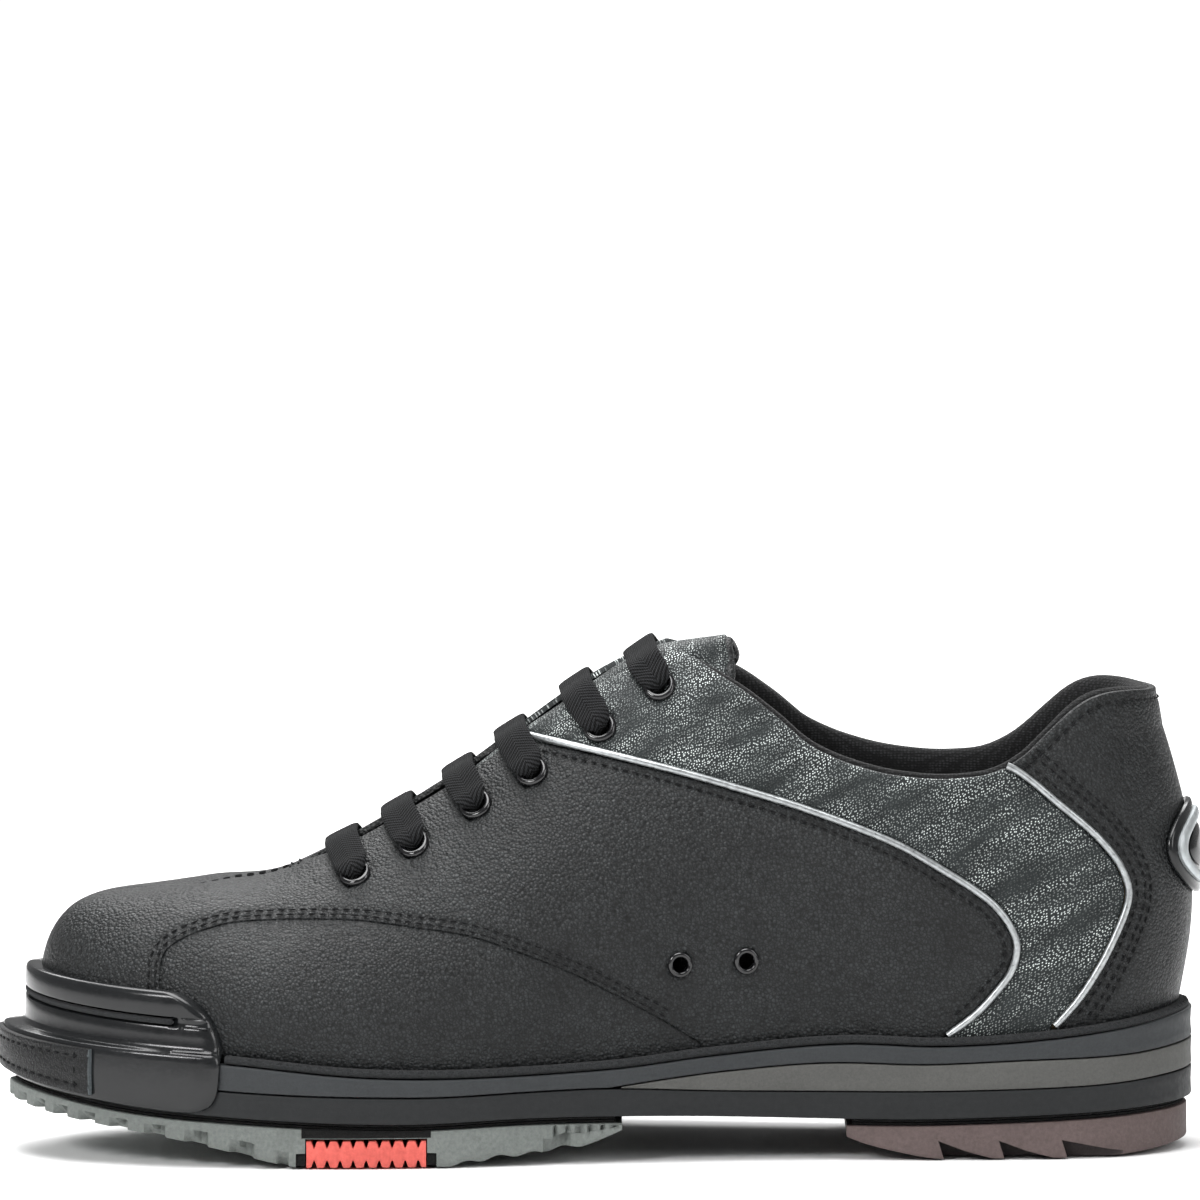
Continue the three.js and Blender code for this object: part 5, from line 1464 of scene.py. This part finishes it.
# Hook fabric stays on the shoe, loop fabric leaves with each pad.
for place_name, pad_body, a, b in (("front", "front_sole_unit", None, FRONT_END - 1.5),
                                   ("heel", "heel_unit", HEEL_START + 1.5, None)):
    u = pair_loop(120, x0=a, x1=b)
    out = tipped(1.4, 6.5, t_at(u)) if a is None else np.full(len(u), 1.4)
    ragged = out + 0.25 * np.sin(np.arange(len(u)) * 2.4) * np.sin(np.arange(len(u)) * 0.7)
    for kind, body, top in (("hook", "shoe", 0.2), ("loop", pad_body, 1.0)):
        layer(f"{kind}_fabric_{place_name}", u, ragged, height_of(BASE_BOTTOM, -top - 0.6),
              height_of(BASE_BOTTOM, -top), FUZZ, soft=0.2, rows=1, body=body,
              replaces=[f"{kind}_panel_{place_name}"], slot="fastening")


# ---------------------------------------------------------------- padded collar and tongue

# Collar padding: one roll over the top line, then down inside to the footbed, from throat edge to throat edge.
top_path = even(joined(after(LINES[-1]["top"], LINES[-1]["throat"]),
                       round_heel(after(LINES[1]["top"], LINES[1]["throat"]))[::-1][1:]), 2.2)
roll = np.array([(1.95, 9.0), (1.95, 3.0), (1.98, 1.0), (2.1, -0.1), (2.6, -0.75), (3.4, -1.15), (4.3, -1.2),
                 (5.3, -0.9), (6.3, -0.1), (7.2, 1.3), (8.0, 3.5), (8.6, 6.5), (8.8, 10), (8.6, 14), (8.1, 18),
                 (7.6, 21.5), (7.35, 24), (7.6, 27), (7.9, 32), (7.7, 38), (7.4, 44)])
depth = roll[:, 0]
rings = []
for i, (a, g) in enumerate(top_path):
    foot_here = abs(np.interp(min(a, 2 * A_END - a), LINES[-1]["foot"][:, 0], LINES[-1]["foot"][:, 1]))
    room = foot_here - abs(g) - 7.5
    down = roll[:, 1]
    down = np.where(down > 24, 24 + (down - 24) * max(room - 24, 1) / 20, np.minimum(down, room))
    lift = (1.9 if a > A_END else 0.6) * min(1.0, i / 6, (len(top_path) - 1 - i) / 6)
    lift *= float(np.clip((7.9 - from_girth(np.array([[a, g]]))[0][0]) / 1.6, 0, 1))
    down = down - lift * np.clip(1 - down / 6, 0, 1.15)
    soft = 0.25 * math.sin(i * 0.55) * math.sin(i * 0.21 + 1)
    places = np.column_stack([np.full(len(down), a), g - down])
    outer = place(places, -(depth + soft * (depth > 4)))[0]
    inner_back = place(places[::-1], -np.where(down[::-1] > 2, 5.9, 3.4))[0]
    rings.append(np.vstack([outer, inner_back[:-3]]))
collar = make("collar_padding", *loft(np.array(rings)), LINING, sharp=85, replaces=["collar_lining", "collar_foam"],
              slot="lining")

# Tongue: a padded, bound strip under the lace, crowned between the throat edges.
TONGUE_WIDTH = [(-75, 10), (-40, 14), (0, 19), (24, 22), (60, 22)]
TONGUE_CROWN = [(-75, 0.3), (-60, 1.4), (-42, 5.0), (-5, 5.8), (12, 5.7), (20, 3.9), (27.5, 1.4)]


def tongue_section(x, end_share):
    """Across the tongue at x: outer face points, then the inner face back, with a bound edge."""
    half = float(value_at(TONGUE_WIDTH, x)) - 0.3
    s = np.sin(np.linspace(-1, 1, 29) * math.pi / 2)
    swept = x + 4.0 * end_share * np.abs(s) ** 1.6
    y = crest_y(x) + s * half * (1 - 0.22 * end_share ** 3)
    t, v, _ = from_above(swept, y, np.clip(0.5 + s * half / 130, 0.06, 0.94))
    start = float(value_at([(-75, 5.4), (-58, 5.8), (-44, 9.3)], x))
    free = np.clip((0.76 - np.abs(s)) / 0.42, 0, 1)
    crown = free * free * (3 - 2 * free) * float(value_at(TONGUE_CROWN, x))
    channel = 0.5 * np.exp(-((np.abs(s) - 0.86) / 0.05) ** 2)
    thick = 2.2 + 4.2 * (1 - np.abs(s) ** 5) * min(1.0, 0.45 + (x + 75) / 40)
    puff = 0.25 * np.sin(x / 5.3) * (1 - s ** 2)
    face = off_form(t, v, -(start - crown + channel - puff))
    return face, off_form(t, v, -(start - crown + channel + thick * (1 - 0.45 * end_share ** 2)))


xs = np.concatenate([np.linspace(-74.5, -68, 5), np.linspace(-65, 23, 54), [24.8, 26.4, 27.4]])
sections = [tongue_section(x, float(np.clip((x - 16) / 11.5, 0, 1))) for x in xs]
over, below = (np.array(faces) for faces in zip(*sections))
tongue_rings = np.concatenate([over, below[:, ::-1]], axis=1)
width_at = np.cumsum(np.linalg.norm(np.diff(over, axis=1, prepend=over[:, :1]), axis=2), axis=1)
width_at -= width_at[:, 14:15]
pattern = np.stack([np.hstack([width_at, width_at[:, ::-1]]), tongue_rings[..., 0] * 1.15], axis=-1).reshape(-1, 2)
tongue = make("tongue_pad", *loft(tongue_rings), PRINT, sharp=85, uv=pattern, body="tongue",
              replaces=["tongue_face", "tongue_padding"], slot="printed_leather")
between = (over + below) / 2
edge = even(joined(between[:, 0], between[-1, 1:-1], between[::-1, -1]), 1.2)
for _ in range(5):
    edge[1:-1] = (edge[:-2] + 2 * edge[1:-1] + edge[2:]) / 4
tube("tongue_binding", edge, 1.3, LEATHER, body="tongue", slot="leather")


# ---------------------------------------------------------------- what stays as it is in the frame

for node, finish in (("vamp_lining", LINING), ("toe_puff", BOARD), ("heel_counter", BOARD), ("insole_board", LINING)):
    kept = frame["nodes"][node]
    kept.data.materials.clear()
    kept.data.materials.append(finish.material)

stitched("upper_stitches", STITCH_ROWS, slot="piping")


# ---------------------------------------------------------------- floor, light and camera


def flat_floor():
    """A pale paper floor out to the horizon, glowing a little away from the shoe so that it stays pale all round."""
    far, level = 14.0, -0.0004
    mesh = bpy.data.meshes.new("floor")
    mesh.from_pydata([(x * far, y * far, level) for x, y in ((-1, -1), (1, -1), (1, 1), (-1, 1))], [], [(0, 1, 2, 3)])
    ground = bpy.data.objects.new("floor", mesh)
    bpy.context.collection.objects.link(ground)
    paper = Finish("pale_paper", (0.86, 0.86, 0.86), 0.9)
    paper.feed("Base Color", paper.ramp(paper.noise(0.01), (0.3, 0.85), (0.7, 0.875)))
    distance = paper.node("ShaderNodeVectorMath", {0: paper.place}, operation="LENGTH").outputs["Value"]
    glow = paper.node("ShaderNodeMapRange", {"Value": distance, "From Min": 350.0, "From Max": 1600.0, "To Max": 0.78})
    paper.shader.inputs["Emission Color"].default_value = (1, 1, 1, 1)
    paper.feed("Emission Strength", glow.outputs["Result"])
    mesh.materials.append(paper.material)


def softbox(name, place_at, aim, size, watts):
    light = bpy.data.lights.new(name, "AREA")
    light.shape, light.size, light.size_y, light.energy = "RECTANGLE", size[0], size[1], watts
    lamp = bpy.data.objects.new(name, light)
    lamp.location = place_at
    lamp.rotation_mode = "QUATERNION"
    lamp.rotation_quaternion = (Vector(aim) - Vector(place_at)).to_track_quat("-Z", "Y")
    bpy.context.collection.objects.link(lamp)


flat_floor()
world = bpy.data.worlds.new("studio")
bpy.context.scene.world = world
world.use_nodes = True
backdrop = world.node_tree.nodes["Background"]
backdrop.inputs["Color"].default_value, backdrop.inputs["Strength"].default_value = (1, 1, 1, 1), 0.33
bpy.context.scene.view_settings.view_transform = "Standard"
softbox("top_bank", (-0.15, -0.05, 1.0), (0, 0, 0.05), (1.1, 0.6), 19)
softbox("front_bank", (-0.85, -1.0, 0.8), (-0.03, 0, 0.06), (0.4, 0.35), 11)
softbox("rear_bank", (1.0, -0.7, 0.7), (0.05, 0, 0.06), (0.35, 0.8), 5.5)
softbox("back_bank", (0.0, 1.2, 1.3), (0, 0, 0.05), (1.6, 0.7), 22)

FRAME_WIDTH, LENS, SENSOR, ELEVATION = 0.2950, 400.0, 36.0, math.radians(5.0)
camera = bpy.data.objects.new("camera", bpy.data.cameras.new("camera"))
camera.data.lens, camera.data.sensor_width = LENS, SENSOR
camera.data.clip_end = 20
back = Vector((0, -math.cos(ELEVATION), math.sin(ELEVATION)))
aim = Vector((0.0, -0.040, 0.1392))
camera.location = aim + back * (FRAME_WIDTH * LENS / SENSOR)
camera.rotation_mode = "QUATERNION"
camera.rotation_quaternion = (-back).to_track_quat("-Z", "Y")
bpy.context.collection.objects.link(camera)
bpy.context.scene.camera = camera

bpy.context.view_layer.update()
